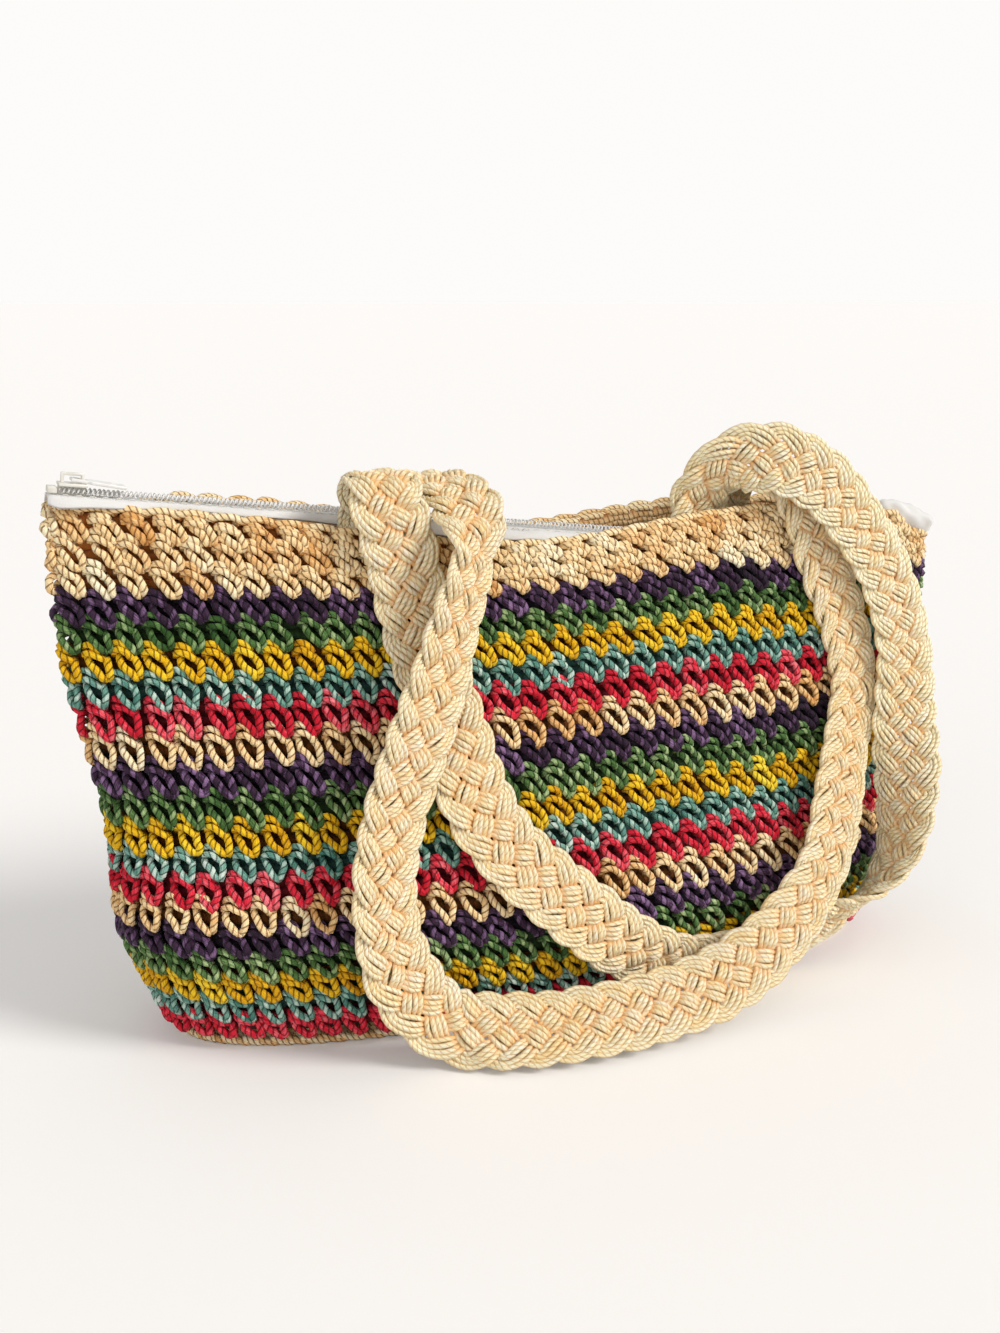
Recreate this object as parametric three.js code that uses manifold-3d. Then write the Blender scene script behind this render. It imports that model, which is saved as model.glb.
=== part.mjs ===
// Crocheted basket bag with two plaited shoulder straps and a zip across its mouth.
// Millimetres, +Z up. X runs along the zip, the front of the bag faces -Y, and the
// origin is at the centre of the base, on the surface that the bag stands on.
import * as THREE from 'three';
import { mergeVertices } from 'three/addons/utils/BufferGeometryUtils.js';
import Module from 'manifold-3d';

const wasm = await Module();
wasm.setup();

// Outside of the wall at five heights, from the base up to the rim
const BASE_LENGTH = 289;
const BASE_DEPTH = 92;
const BASE_THICKNESS = 6;
const BELLY_LENGTH = 317;
const BELLY_DEPTH = 112;
const BELLY_HEIGHT = 41;
const WAIST_LENGTH = 322;
const WAIST_DEPTH = 86;
const WAIST_HEIGHT = 83;
const SHOULDER_LENGTH = 345;
const SHOULDER_DEPTH = 58;
const SHOULDER_HEIGHT = 139;
const RIM_LENGTH = 350;
const RIM_DEPTH = 42;
const RIM_HEIGHT = 189;

// How the soft rim hangs: a dip near the middle and a droop at the right end
const RIM_DIP = 16.5;
const RIM_DIP_PLACE = -0.08;
const RIM_DIP_SPREAD = 0.5;
const RIM_DROOP = 24;
const RIM_DROOP_START = 0.2;
const SAG_POWER = 4;

// Plan of the wall: a squarish oval at the base that closes to a lens at the mouth
const BASE_SQUARENESS = 2.3;
const TIP_CLOSING = 3;

// Crocheted rounds, counted up from the base, and the natural band of the rim
const WALL_THICKNESS = 5;
const ROUND_RELIEF = 1.7;
const RIM_ROUNDS = 3;
const ROUND_SEGMENTS = 40;
const BASE_EDGE = 6;
const STRIPES = [
  'red', 'teal', 'yellow', 'green', 'purple', 'natural',
  'red', 'teal', 'yellow', 'green', 'purple', 'natural',
  'red', 'teal', 'yellow', 'green', 'purple',
];

// Cotton lining inside the wall
const LINING_THICKNESS = 1;
const LINING_TOP = 0.82;
const LINING_SEGMENTS = 20;
const LINING_LEVELS = 9;

// Plaited straps
const STRAP_WIDTH = 26.5;
const STRAP_THICKNESS = 6;
const STRAP_STATIONS = 92;
const PLAIT_RELIEF = 0.3;
const PLAIT_NOTCH = 0.12;
const FRONT_STRAP_LEFT = -0.38;
const FRONT_STRAP_RIGHT = 0.36;
const BACK_STRAP_LEFT = -0.34;
const BACK_STRAP_RIGHT = 0.46;
const STRAP_END_LEVEL = 0.87;
const STRAP_SEAT = 1;

// Zip: two cloth tapes with a coil each, a slider and its pull tab, and the end stops
const ZIP_START = -173;
const ZIP_END = 122;
const ZIP_START_HEIGHT = 193;
const ZIP_SLOPE = 0.122;
const TAPE_THICKNESS = 1;
const TAPE_LEAST_WIDTH = 4.5;
const TAPE_POINTS = 28;
const STRAP_SIDE_ROOM = 12;
const COIL_WIDTH = 2;
const COIL_HEIGHT = 2.2;
const COIL_SPACING = 1.4;
const SLIDER_LENGTH = 9;
const SLIDER_WIDTH = 7.6;
const SLIDER_PLATE = 1;
const SLIDER_POST = 0.7;
const BRIDGE_WIDTH = 1.8;
const BRIDGE_LENGTH = 7.4;
const BRIDGE_HEIGHT = 3.4;
const BRIDGE_BAR = 1;
const TAB_LENGTH = 17;
const TAB_WIDTH = 8;
const TAB_THICKNESS = 1.1;
const TAB_EYE_LENGTH = 4.2;
const TAB_EYE_WIDTH = 3.6;
const TAB_EYE_WALL = 1.1;
const TAB_HOLE_LENGTH = 4.4;
const TAB_HOLE_WIDTH = 2.6;
const TAB_REST_TILT = 5;
const STOP_LENGTH = 3;
const END_TAB_LENGTH = 22;
const END_TAB_WIDTH = 7;
const END_TAB_THICKNESS = 2.4;

// Clearances between pieces that touch
const TOUCH = 0.3;
const CLOTH_CLEARANCE = 1;
const RUNNING_CLEARANCE = 0.35;

// Fineness of curves and of measuring
const CURVE_SEGMENTS = 6;
const MEASURE_STEP = 0.01;
const WELD = 1e-4;

// Sides of the bag along Y
const FRONT = -1;
const BACK = 1;

const FINISH = {
  natural: { color: 0xc99d5c, roughness: 0.85, metalness: 0 },
  red: { color: 0xb3203a, roughness: 0.8, metalness: 0 },
  teal: { color: 0x2e7a72, roughness: 0.8, metalness: 0 },
  yellow: { color: 0xd9a51a, roughness: 0.8, metalness: 0 },
  green: { color: 0x33702f, roughness: 0.8, metalness: 0 },
  purple: { color: 0x2a1838, roughness: 0.8, metalness: 0 },
  cotton: { color: 0xf0ece4, roughness: 0.9, metalness: 0 },
  coil: { color: 0xf4f2ee, roughness: 0.45, metalness: 0 },
  enamel: { color: 0xeeebe6, roughness: 0.35, metalness: 0.2 },
};

const bag = new THREE.Group();

function addPiece(parent, name, geometry, finish) {
  const material = new THREE.MeshStandardMaterial(FINISH[finish]);
  const mesh = new THREE.Mesh(geometry, material);
  mesh.name = name;
  parent.add(mesh);
  return mesh;
}

// Closed body from points and triangles, with its faces turned outward
function closedBody(points, triangles) {
  let volume = 0;
  for (const [a, b, c] of triangles) {
    volume += points[a].dot(new THREE.Vector3().crossVectors(points[b], points[c]));
  }
  const index = triangles.flatMap(([a, b, c]) => (volume > 0 ? [a, b, c] : [a, c, b]));
  const geometry = new THREE.BufferGeometry().setFromPoints(points);
  geometry.setIndex(index);
  geometry.computeVertexNormals();
  return geometry;
}

// Two triangles for each side of a tube between rings of points
function stitchRings(ringCount, ringSize, closed) {
  const triangles = [];
  const spans = closed ? ringCount : ringCount - 1;
  for (let i = 0; i < spans; i += 1) {
    const here = i * ringSize;
    const next = ((i + 1) % ringCount) * ringSize;
    for (let j = 0; j < ringSize; j += 1) {
      const k = (j + 1) % ringSize;
      triangles.push([here + j, next + j, next + k]);
      triangles.push([here + j, next + k, here + k]);
    }
  }
  return triangles;
}

// Wall of the bag
const wallProfile = new THREE.CatmullRomCurve3([
  new THREE.Vector3(BASE_LENGTH / 2, BASE_DEPTH / 2, BASE_THICKNESS),
  new THREE.Vector3(BELLY_LENGTH / 2, BELLY_DEPTH / 2, BELLY_HEIGHT),
  new THREE.Vector3(WAIST_LENGTH / 2, WAIST_DEPTH / 2, WAIST_HEIGHT),
  new THREE.Vector3(SHOULDER_LENGTH / 2, SHOULDER_DEPTH / 2, SHOULDER_HEIGHT),
  new THREE.Vector3(RIM_LENGTH / 2, RIM_DEPTH / 2, RIM_HEIGHT),
], false, 'centripetal');

const signedPower = (value, power) => Math.sign(value) * Math.abs(value) ** power;
const ovalPower = (v) => 2 / (BASE_SQUARENESS + (2 - BASE_SQUARENESS) * v);
const tipInset = (v, inset) => inset + TIP_CLOSING * v * v * Math.max(0, inset - ROUND_RELIEF);

function rimDrop(place) {
  const dip = RIM_DIP * Math.exp(-(((place - RIM_DIP_PLACE) / RIM_DIP_SPREAD) ** 2));
  const past = Math.max(0, (place - RIM_DROOP_START) / (1 - RIM_DROOP_START));
  return dip + RIM_DROOP * past * past;
}

// Point of the wall at a height v, 0 at the base and 1 at the rim, at an angle
// around the bag, and a depth under the outside
function wallPoint(v, turn, inset = 0) {
  const level = wallProfile.getPointAt(v);
  const power = ovalPower(v);
  const place = signedPower(Math.cos(turn), power);
  const oval = signedPower(Math.sin(turn), power);
  const lens = Math.sign(oval) * (1 - place * place);
  const depth = oval + (lens - oval) * v * v;
  return new THREE.Vector3(
    (level.x - tipInset(v, inset)) * place,
    (level.y - inset) * depth,
    level.z - rimDrop(place) * v ** SAG_POWER,
  );
}

// Closed ring around the bag; each corner of its section is a height and a depth
function wallRing(section, segments) {
  const points = [];
  for (let i = 0; i < segments; i += 1) {
    const turn = (i / segments) * 2 * Math.PI;
    for (const [v, inset] of section) {
      points.push(wallPoint(v, turn, inset));
    }
  }
  return closedBody(points, stitchRings(segments, section.length, true));
}

const ROUND_COUNT = STRIPES.length + RIM_ROUNDS;
const roundPitch = 1 / ROUND_COUNT;
const roundGap = TOUCH / wallProfile.getLength() / 2;

// Outer edge of one round: a crest between two grooves
function roundEdge(number, lower, upper) {
  const start = number * roundPitch + lower;
  const end = (number + 1) * roundPitch - upper;
  return [
    [start, ROUND_RELIEF],
    [(start + end) / 2, 0],
    [end, ROUND_RELIEF],
  ];
}

function addRounds() {
  STRIPES.forEach((stripe, number) => {
    const edge = roundEdge(number, roundGap, roundGap);
    const [start] = edge[0];
    const [end] = edge[edge.length - 1];
    const section = [...edge, [end, WALL_THICKNESS], [start, WALL_THICKNESS]];
    const label = String(number + 1).padStart(2, '0');
    addPiece(bag, `round_${label}_${stripe}`, wallRing(section, ROUND_SEGMENTS), stripe);
  });
}

function addRimBand() {
  const section = [];
  for (let number = STRIPES.length; number < ROUND_COUNT; number += 1) {
    const first = number === STRIPES.length;
    const edge = roundEdge(number, first ? roundGap : 0, 0);
    section.push(...(first ? edge : edge.slice(1)));
  }
  const [start] = section[0];
  section.push([1, WALL_THICKNESS], [start, WALL_THICKNESS]);
  addPiece(bag, 'rim_band', wallRing(section, ROUND_SEGMENTS), 'natural');
}

// Disc between two outlines of the wall's lowest level
function addBase() {
  const outlines = [[BASE_EDGE, 0], [0, BASE_THICKNESS - TOUCH]];
  const points = [];
  for (let i = 0; i < ROUND_SEGMENTS; i += 1) {
    const turn = (i / ROUND_SEGMENTS) * 2 * Math.PI;
    for (const [inset, height] of outlines) {
      points.push(wallPoint(0, turn, inset).setZ(height));
    }
  }
  const triangles = stitchRings(ROUND_SEGMENTS, outlines.length, true)
    .filter((_, number) => number % 4 < 2);
  outlines.forEach(([, height], layer) => {
    const centre = points.push(new THREE.Vector3(0, 0, height)) - 1;
    for (let i = 0; i < ROUND_SEGMENTS; i += 1) {
      const here = i * outlines.length + layer;
      const next = ((i + 1) % ROUND_SEGMENTS) * outlines.length + layer;
      triangles.push(layer === 0 ? [centre, next, here] : [centre, here, next]);
    }
  });
  addPiece(bag, 'base', closedBody(points, triangles), 'natural');
}

// Open cloth bag that lies against the inside of the wall and on the base
function addLining() {
  const outer = WALL_THICKNESS + CLOTH_CLEARANCE;
  const inner = outer + LINING_THICKNESS;
  const floorHeight = BASE_THICKNESS + TOUCH;
  const points = [];
  const skins = [
    { inset: outer, floor: floorHeight },
    { inset: inner, floor: floorHeight + LINING_THICKNESS },
  ];
  for (const { inset, floor } of skins) {
    for (let row = 0; row <= LINING_LEVELS; row += 1) {
      const v = (row / LINING_LEVELS) * LINING_TOP;
      for (let i = 0; i < LINING_SEGMENTS; i += 1) {
        const point = wallPoint(v, (i / LINING_SEGMENTS) * 2 * Math.PI, inset);
        points.push(row === 0 ? point.setZ(floor) : point);
      }
    }
  }
  const skinSize = (LINING_LEVELS + 1) * LINING_SEGMENTS;
  const triangles = [];
  const quad = (a, b, c, d) => triangles.push([a, b, c], [a, c, d]);
  for (let i = 0; i < LINING_SEGMENTS; i += 1) {
    const k = (i + 1) % LINING_SEGMENTS;
    for (let row = 0; row < LINING_LEVELS; row += 1) {
      const low = row * LINING_SEGMENTS;
      const high = low + LINING_SEGMENTS;
      quad(low + i, low + k, high + k, high + i);
      quad(skinSize + low + k, skinSize + low + i, skinSize + high + i, skinSize + high + k);
    }
    const hem = LINING_LEVELS * LINING_SEGMENTS;
    quad(hem + i, hem + k, skinSize + hem + k, skinSize + hem + i);
  }
  skins.forEach(({ floor }, layer) => {
    const centre = points.push(new THREE.Vector3(0, 0, floor)) - 1;
    for (let i = 0; i < LINING_SEGMENTS; i += 1) {
      const here = layer * skinSize + i;
      const next = layer * skinSize + ((i + 1) % LINING_SEGMENTS);
      triangles.push(layer === 0 ? [centre, next, here] : [centre, here, next]);
    }
  });
  addPiece(bag, 'lining', closedBody(points, triangles), 'cotton');
}

// Stations of a strap: a point of its middle line and the direction that its face turns to
const halfStrap = STRAP_THICKNESS / 2;
const seat = halfStrap + STRAP_SEAT;
const sewnDepth = WALL_THICKNESS + CLOTH_CLEARANCE + halfStrap;
const layerHeight = STRAP_THICKNESS + STRAP_SEAT;

// Frame of the wall at a place along the bag, from -1 to 1, on its front or back
function wallFrame(side, place, v) {
  const turn = side * Math.acos(signedPower(place, 1 / ovalPower(v)));
  const high = Math.min(1, v + MEASURE_STEP);
  const low = Math.max(0, v - MEASURE_STEP);
  const ahead = wallPoint(v, turn + MEASURE_STEP);
  const along = ahead.sub(wallPoint(v, turn - MEASURE_STEP)).normalize();
  const upward = wallPoint(high, turn).sub(wallPoint(low, turn)).normalize();
  const outward = new THREE.Vector3().crossVectors(along, upward).normalize();
  const level = new THREE.Vector3(along.y, -along.x, 0).normalize();
  return { point: wallPoint(v, turn), along, outward, level };
}

// Lies on the front wall, on top of other straps, with its face turned about its length
function lying(place, v, layer = 0, turned = 0) {
  const { point, along, outward } = wallFrame(FRONT, place, v);
  const angle = THREE.MathUtils.degToRad(turned);
  const normal = outward.clone().multiplyScalar(Math.cos(angle));
  normal.addScaledVector(along, -Math.sin(angle));
  point.addScaledVector(outward, seat + layer * layerHeight);
  return { point, normal };
}

// Stands free near a level of the wall: out from it, raised, and facing up at an angle
function free(side, place, v, out, rise, facing) {
  const { point, level } = wallFrame(side, place, v);
  const angle = THREE.MathUtils.degToRad(facing);
  const normal = level.clone().multiplyScalar(Math.cos(angle));
  normal.z += Math.sin(angle);
  point.addScaledVector(level, out);
  point.z += rise;
  return { point, normal };
}

// Sewn inside the front of the rim at both ends, folded over it at the left, half
// turned low on the right, and looped up past the rim there
const frontStrapRoute = [
  free(FRONT, FRONT_STRAP_LEFT, STRAP_END_LEVEL, -sewnDepth, 0, 180),
  free(FRONT, FRONT_STRAP_LEFT, 0.96, -sewnDepth, 0, 180),
  free(FRONT, -0.38, 1, -sewnDepth, 10, 160),
  free(FRONT, -0.38, 1, -4, 18, 115),
  free(FRONT, -0.38, 1, 4, 18, 65),
  free(FRONT, -0.375, 1, 8, 10, 20),
  lying(-0.355, 0.97, 0.4),
  lying(-0.335, 0.84),
  lying(-0.31, 0.7),
  lying(-0.285, 0.57),
  lying(-0.262, 0.445, 0.3),
  lying(-0.2, 0.34, 0.5),
  lying(-0.07, 0.235, 0.4),
  lying(0.07, 0.145, 0.1),
  lying(0.22, 0.078),
  lying(0.4, 0.064),
  lying(0.58, 0.075, 0.1, -5),
  lying(0.72, 0.125, 0.7, -32),
  lying(0.79, 0.215, 1.5, -66),
  lying(0.83, 0.34, 1.8, -105),
  lying(0.84, 0.48, 1.7, -140),
  lying(0.83, 0.64, 1.5, -165),
  lying(0.765, 0.81, 1.5, -172),
  lying(0.675, 0.94, 1.5, -175),
  free(FRONT, 0.57, 1, 13, 9, 180),
  free(FRONT, 0.47, 1, 9, 16, 180),
  free(FRONT, 0.39, 1, 1, 14, 180),
  free(FRONT, FRONT_STRAP_RIGHT, 1, -sewnDepth, 2, 180),
  free(FRONT, FRONT_STRAP_RIGHT, STRAP_END_LEVEL, -sewnDepth, 0, 180),
];

// Sewn inside the back of the rim, led forward over the mouth, and hung in a loop
// whose lowest run leans on the belly with its edge near the ground
const backStrapRoute = [
  free(BACK, BACK_STRAP_LEFT, STRAP_END_LEVEL, -sewnDepth, 0, 0),
  free(BACK, BACK_STRAP_LEFT, 0.97, -sewnDepth, 0, 0),
  free(BACK, -0.33, 1, -sewnDepth, 11, 30),
  free(BACK, -0.285, 1, -18, 18, 70),
  free(FRONT, -0.235, 1, -7, 18, 65),
  free(FRONT, -0.218, 1, 9.5, 10, 25),
  lying(-0.225, 0.95, 1.6, -42),
  lying(-0.27, 0.81, 1.7, -36),
  lying(-0.328, 0.67, 1.8, -27),
  lying(-0.39, 0.55, 1.6, -22),
  lying(-0.45, 0.43, 1.1, -26),
  lying(-0.487, 0.3, 0.9, -26),
  lying(-0.475, 0.18, 0.7, -20),
  free(FRONT, -0.405, 0, 20, 9.5, 12),
  free(FRONT, -0.28, 0, 26, 7, 36),
  free(FRONT, -0.1, 0, 29, 6.5, 46),
  free(FRONT, 0.1, 0, 29, 7.5, 46),
  free(FRONT, 0.27, 0, 28, 11.5, 36),
  free(FRONT, 0.42, 0, 27, 22, 22),
  lying(0.54, 0.23, 1.4),
  lying(0.64, 0.345, 0.9),
  lying(0.715, 0.46, 0.2),
  lying(0.738, 0.58),
  lying(0.69, 0.72),
  lying(0.63, 0.86),
  free(FRONT, 0.59, 1, 4, -3, 10),
  free(FRONT, 0.565, 1, -2, 4, 60),
  free(BACK, 0.52, 1, -18, 6, 95),
  free(BACK, 0.47, 1, -sewnDepth, 1, 10),
  free(BACK, BACK_STRAP_RIGHT, STRAP_END_LEVEL, -sewnDepth, 0, 0),
];

// Flat plait along a route: four columns of raised cells, and edges notched in turn
function plaitedStrap(route) {
  const middle = new THREE.CatmullRomCurve3(route.map(({ point }) => point), false, 'centripetal');
  const facing = new THREE.CatmullRomCurve3(route.map(({ normal }) => normal));
  const inner = [-0.5, 0, 0.5];
  const points = [];
  for (let i = 0; i < STRAP_STATIONS; i += 1) {
    const t = middle.getUtoTmapping(i / (STRAP_STATIONS - 1));
    const tangent = middle.getTangent(t);
    const normal = facing.getPoint(t);
    normal.addScaledVector(tangent, -normal.dot(tangent)).normalize();
    const across = new THREE.Vector3().crossVectors(tangent, normal);
    const centre = middle.getPoint(t);
    const place = (width, height) => points.push(centre.clone()
      .addScaledVector(across, (width * STRAP_WIDTH) / 2)
      .addScaledVector(normal, height * halfStrap));
    const raised = (column) => ((i + column) % 2 === 0 ? 1 : 1 - PLAIT_RELIEF);
    place(-1 + PLAIT_NOTCH * (i % 2), 0);
    inner.forEach((width, column) => place(width, raised(column)));
    place(1 - PLAIT_NOTCH * ((i + 1) % 2), 0);
    [...inner].reverse().forEach((width, column) => place(width, -raised(column + 1)));
  }
  const size = points.length / STRAP_STATIONS;
  const triangles = stitchRings(STRAP_STATIONS, size, false);
  const last = points.length - size;
  for (let j = 1; j < size - 1; j += 1) {
    triangles.push([0, j, j + 1]);
    triangles.push([last, last + j + 1, last + j]);
  }
  return closedBody(points, triangles);
}

function addStraps() {
  addPiece(bag, 'strap_front', plaitedStrap(frontStrapRoute), 'natural');
  addPiece(bag, 'strap_back', plaitedStrap(backStrapRoute), 'natural');
}

// Zip, in a group of its own that lies along the mouth
const zip = new THREE.Group();
zip.position.set(ZIP_START, 0, ZIP_START_HEIGHT);
zip.rotation.y = Math.atan(ZIP_SLOPE);
bag.add(zip);

const zipLength = Math.hypot(1, ZIP_SLOPE) * (ZIP_END - ZIP_START);
const placeOnZip = (x) => (x - ZIP_START) * Math.hypot(1, ZIP_SLOPE);
const coilOuter = COIL_SPACING / 2 + COIL_WIDTH;

// Extruded outline, standing on the plane of the zip at a height
function plate(shape, thickness, bottom) {
  const options = { depth: thickness, bevelEnabled: false, curveSegments: CURVE_SEGMENTS };
  return new THREE.ExtrudeGeometry(shape, options).translate(0, 0, bottom);
}

// Half width of a tape, from the inside of the rim, with room for the strap ends
function tapeWidth(x, strapPlaces) {
  const halfLength = RIM_LENGTH / 2;
  const lens = (place) => Math.max(0, 1 - place * place);
  const inset = WALL_THICKNESS + CLOTH_CLEARANCE;
  const inside = (RIM_DEPTH / 2 - inset) * lens(x / (halfLength - tipInset(1, WALL_THICKNESS)));
  const room = STRAP_WIDTH / 2 + STRAP_SIDE_ROOM;
  const atStrap = strapPlaces.some((place) => Math.abs(x - place * halfLength) < room);
  const besideStrap = (RIM_DEPTH / 2) * lens(x / halfLength) - sewnDepth - halfStrap - CLOTH_CLEARANCE;
  return Math.max(TAPE_LEAST_WIDTH, atStrap ? besideStrap : inside);
}

function addTapes() {
  const sides = [
    ['front', FRONT, [FRONT_STRAP_LEFT, FRONT_STRAP_RIGHT]],
    ['back', BACK, [BACK_STRAP_LEFT, BACK_STRAP_RIGHT]],
  ];
  for (const [name, side, strapPlaces] of sides) {
    const innerEdge = side * (COIL_SPACING / 2 + TOUCH);
    const shape = new THREE.Shape();
    shape.moveTo(0, innerEdge);
    shape.lineTo(zipLength, innerEdge);
    for (let i = TAPE_POINTS; i >= 0; i -= 1) {
      const x = ZIP_START + ((ZIP_END - ZIP_START) * i) / TAPE_POINTS;
      shape.lineTo(placeOnZip(x), side * tapeWidth(x, strapPlaces));
    }
    addPiece(zip, `zip_tape_${name}`, plate(shape, TAPE_THICKNESS, 0), 'cotton');
  }
}

function addCoils() {
  for (const [name, side] of [['front', FRONT], ['back', BACK]]) {
    const length = zipLength - 2 * STOP_LENGTH - 2 * TOUCH;
    const coil = new THREE.BoxGeometry(length, COIL_WIDTH, COIL_HEIGHT);
    const mesh = addPiece(zip, `zip_coil_${name}`, coil, 'coil');
    mesh.position.x = zipLength / 2;
    mesh.position.y = side * (COIL_SPACING / 2 + COIL_WIDTH / 2);
    mesh.position.z = TAPE_THICKNESS + TOUCH + COIL_HEIGHT / 2;
  }
}

function solidOf(geometry) {
  const bare = geometry.clone();
  bare.deleteAttribute('normal');
  bare.deleteAttribute('uv');
  const merged = mergeVertices(bare, WELD);
  return new wasm.Manifold(new wasm.Mesh({
    numProp: 3,
    vertProperties: new Float32Array(merged.attributes.position.array),
    triVerts: new Uint32Array(merged.index.array),
  }));
}

function geometryOf(solid) {
  const mesh = solid.getMesh();
  const geometry = new THREE.BufferGeometry();
  geometry.setAttribute('position', new THREE.BufferAttribute(mesh.vertProperties, 3));
  geometry.setIndex(new THREE.BufferAttribute(mesh.triVerts, 1));
  geometry.computeVertexNormals();
  return geometry;
}

const box = (length, width, height, x, y, z) => (
  new THREE.BoxGeometry(length, width, height).translate(x, y, z));

const coilTop = TAPE_THICKNESS + TOUCH + COIL_HEIGHT;
const topPlate = coilTop + RUNNING_CLEARANCE + SLIDER_PLATE / 2;
const bottomPlate = -RUNNING_CLEARANCE - SLIDER_PLATE / 2;
const plateTop = topPlate + SLIDER_PLATE / 2;
const bridgeBar = plateTop + BRIDGE_HEIGHT - BRIDGE_BAR / 2;
const sliderPlace = STOP_LENGTH + TOUCH + SLIDER_LENGTH / 2;

// Slider: two plates joined by the post that runs between the coils, and a bridge
const slider = new THREE.Group();
slider.position.x = sliderPlace;
zip.add(slider);

function addSlider() {
  const post = box(SLIDER_LENGTH, SLIDER_POST, topPlate - bottomPlate, 0, 0, (topPlate + bottomPlate) / 2);
  const legHeight = BRIDGE_HEIGHT + SLIDER_PLATE / 2;
  const legPlace = BRIDGE_LENGTH / 2 - BRIDGE_BAR / 2;
  const legMiddle = topPlate + legHeight / 2;
  let body = solidOf(box(SLIDER_LENGTH, SLIDER_WIDTH, SLIDER_PLATE, 0, 0, topPlate));
  body = body.add(solidOf(box(SLIDER_LENGTH, SLIDER_WIDTH, SLIDER_PLATE, 0, 0, bottomPlate)));
  body = body.add(solidOf(post));
  body = body.add(solidOf(box(BRIDGE_BAR, BRIDGE_WIDTH, legHeight, -legPlace, 0, legMiddle)));
  body = body.add(solidOf(box(BRIDGE_BAR, BRIDGE_WIDTH, legHeight, legPlace, 0, legMiddle)));
  body = body.add(solidOf(box(BRIDGE_LENGTH, BRIDGE_WIDTH, BRIDGE_BAR, 0, 0, bridgeBar)));
  addPiece(slider, 'zip_slider', geometryOf(body), 'enamel');
}

// Pull tab, lying along the zip with its eye round the bridge and its cross bar under it
function addPullTab() {
  const half = TAB_WIDTH / 2;
  const neck = TAB_EYE_WIDTH / 2 + TAB_EYE_WALL;
  const eyeEnd = TAB_EYE_WALL / 2 + TAB_EYE_LENGTH;
  const shoulder = eyeEnd + TAB_EYE_WALL;
  const shape = new THREE.Shape();
  shape.moveTo(-TAB_EYE_WALL / 2, -neck);
  shape.lineTo(eyeEnd, -neck);
  shape.lineTo(shoulder, -half);
  shape.lineTo(TAB_LENGTH, -half);
  shape.lineTo(TAB_LENGTH, half);
  shape.lineTo(shoulder, half);
  shape.lineTo(eyeEnd, neck);
  shape.lineTo(-TAB_EYE_WALL / 2, neck);
  const eye = new THREE.Path();
  eye.moveTo(TAB_EYE_WALL / 2, -TAB_EYE_WIDTH / 2);
  eye.lineTo(TAB_EYE_WALL / 2, TAB_EYE_WIDTH / 2);
  eye.lineTo(eyeEnd, TAB_EYE_WIDTH / 2);
  eye.lineTo(eyeEnd, -TAB_EYE_WIDTH / 2);
  const hole = new THREE.Path();
  const holePlace = TAB_LENGTH - TAB_EYE_WALL - TAB_HOLE_LENGTH / 2;
  hole.absellipse(holePlace, 0, TAB_HOLE_LENGTH / 2, TAB_HOLE_WIDTH / 2, 0, 2 * Math.PI, true);
  shape.holes.push(eye, hole);
  const tab = addPiece(slider, 'pull_tab', plate(shape, TAB_THICKNESS, -TAB_THICKNESS / 2), 'enamel');
  tab.position.z = (plateTop + bridgeBar - BRIDGE_BAR / 2) / 2;
  tab.rotation.y = THREE.MathUtils.degToRad(TAB_REST_TILT);
}

// Clips at the ends of the coils, one a side where the slider stops when closed and
// one across both where it stops when open
function addStops() {
  const height = COIL_HEIGHT;
  const middle = TAPE_THICKNESS + TOUCH + height / 2;
  for (const [name, side] of [['front', FRONT], ['back', BACK]]) {
    const clip = box(STOP_LENGTH, COIL_WIDTH, height, STOP_LENGTH / 2, 0, middle);
    const mesh = addPiece(zip, `top_stop_${name}`, clip, 'enamel');
    mesh.position.y = side * (COIL_SPACING / 2 + COIL_WIDTH / 2);
  }
  const across = box(STOP_LENGTH, 2 * coilOuter, height, zipLength - STOP_LENGTH / 2, 0, middle);
  addPiece(zip, 'bottom_stop', across, 'enamel');
}

// Cloth tab sewn on top of the drooping right end of the rim
function addEndTab() {
  const reach = RIM_LENGTH / 2 - tipInset(1, ROUND_RELIEF);
  const start = reach - END_TAB_LENGTH;
  const topAt = (x) => RIM_HEIGHT - rimDrop(x / reach);
  const bulge = topAt((start + reach) / 2) - (topAt(start) + topAt(reach)) / 2;
  const tab = new THREE.Group();
  tab.position.set(start, 0, topAt(start));
  tab.rotation.y = Math.atan2(topAt(start) - topAt(reach), END_TAB_LENGTH);
  bag.add(tab);
  const middle = TOUCH + bulge + END_TAB_THICKNESS / 2;
  const cloth = box(END_TAB_LENGTH, END_TAB_WIDTH, END_TAB_THICKNESS, END_TAB_LENGTH / 2, 0, middle);
  addPiece(tab, 'zip_end_tab', cloth, 'cotton');
}

addBase();
addRounds();
addRimBand();
addLining();
addStraps();
addTapes();
addCoils();
addSlider();
addPullTab();
addStops();
addEndTab();

export default bag;
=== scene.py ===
import math

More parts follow.
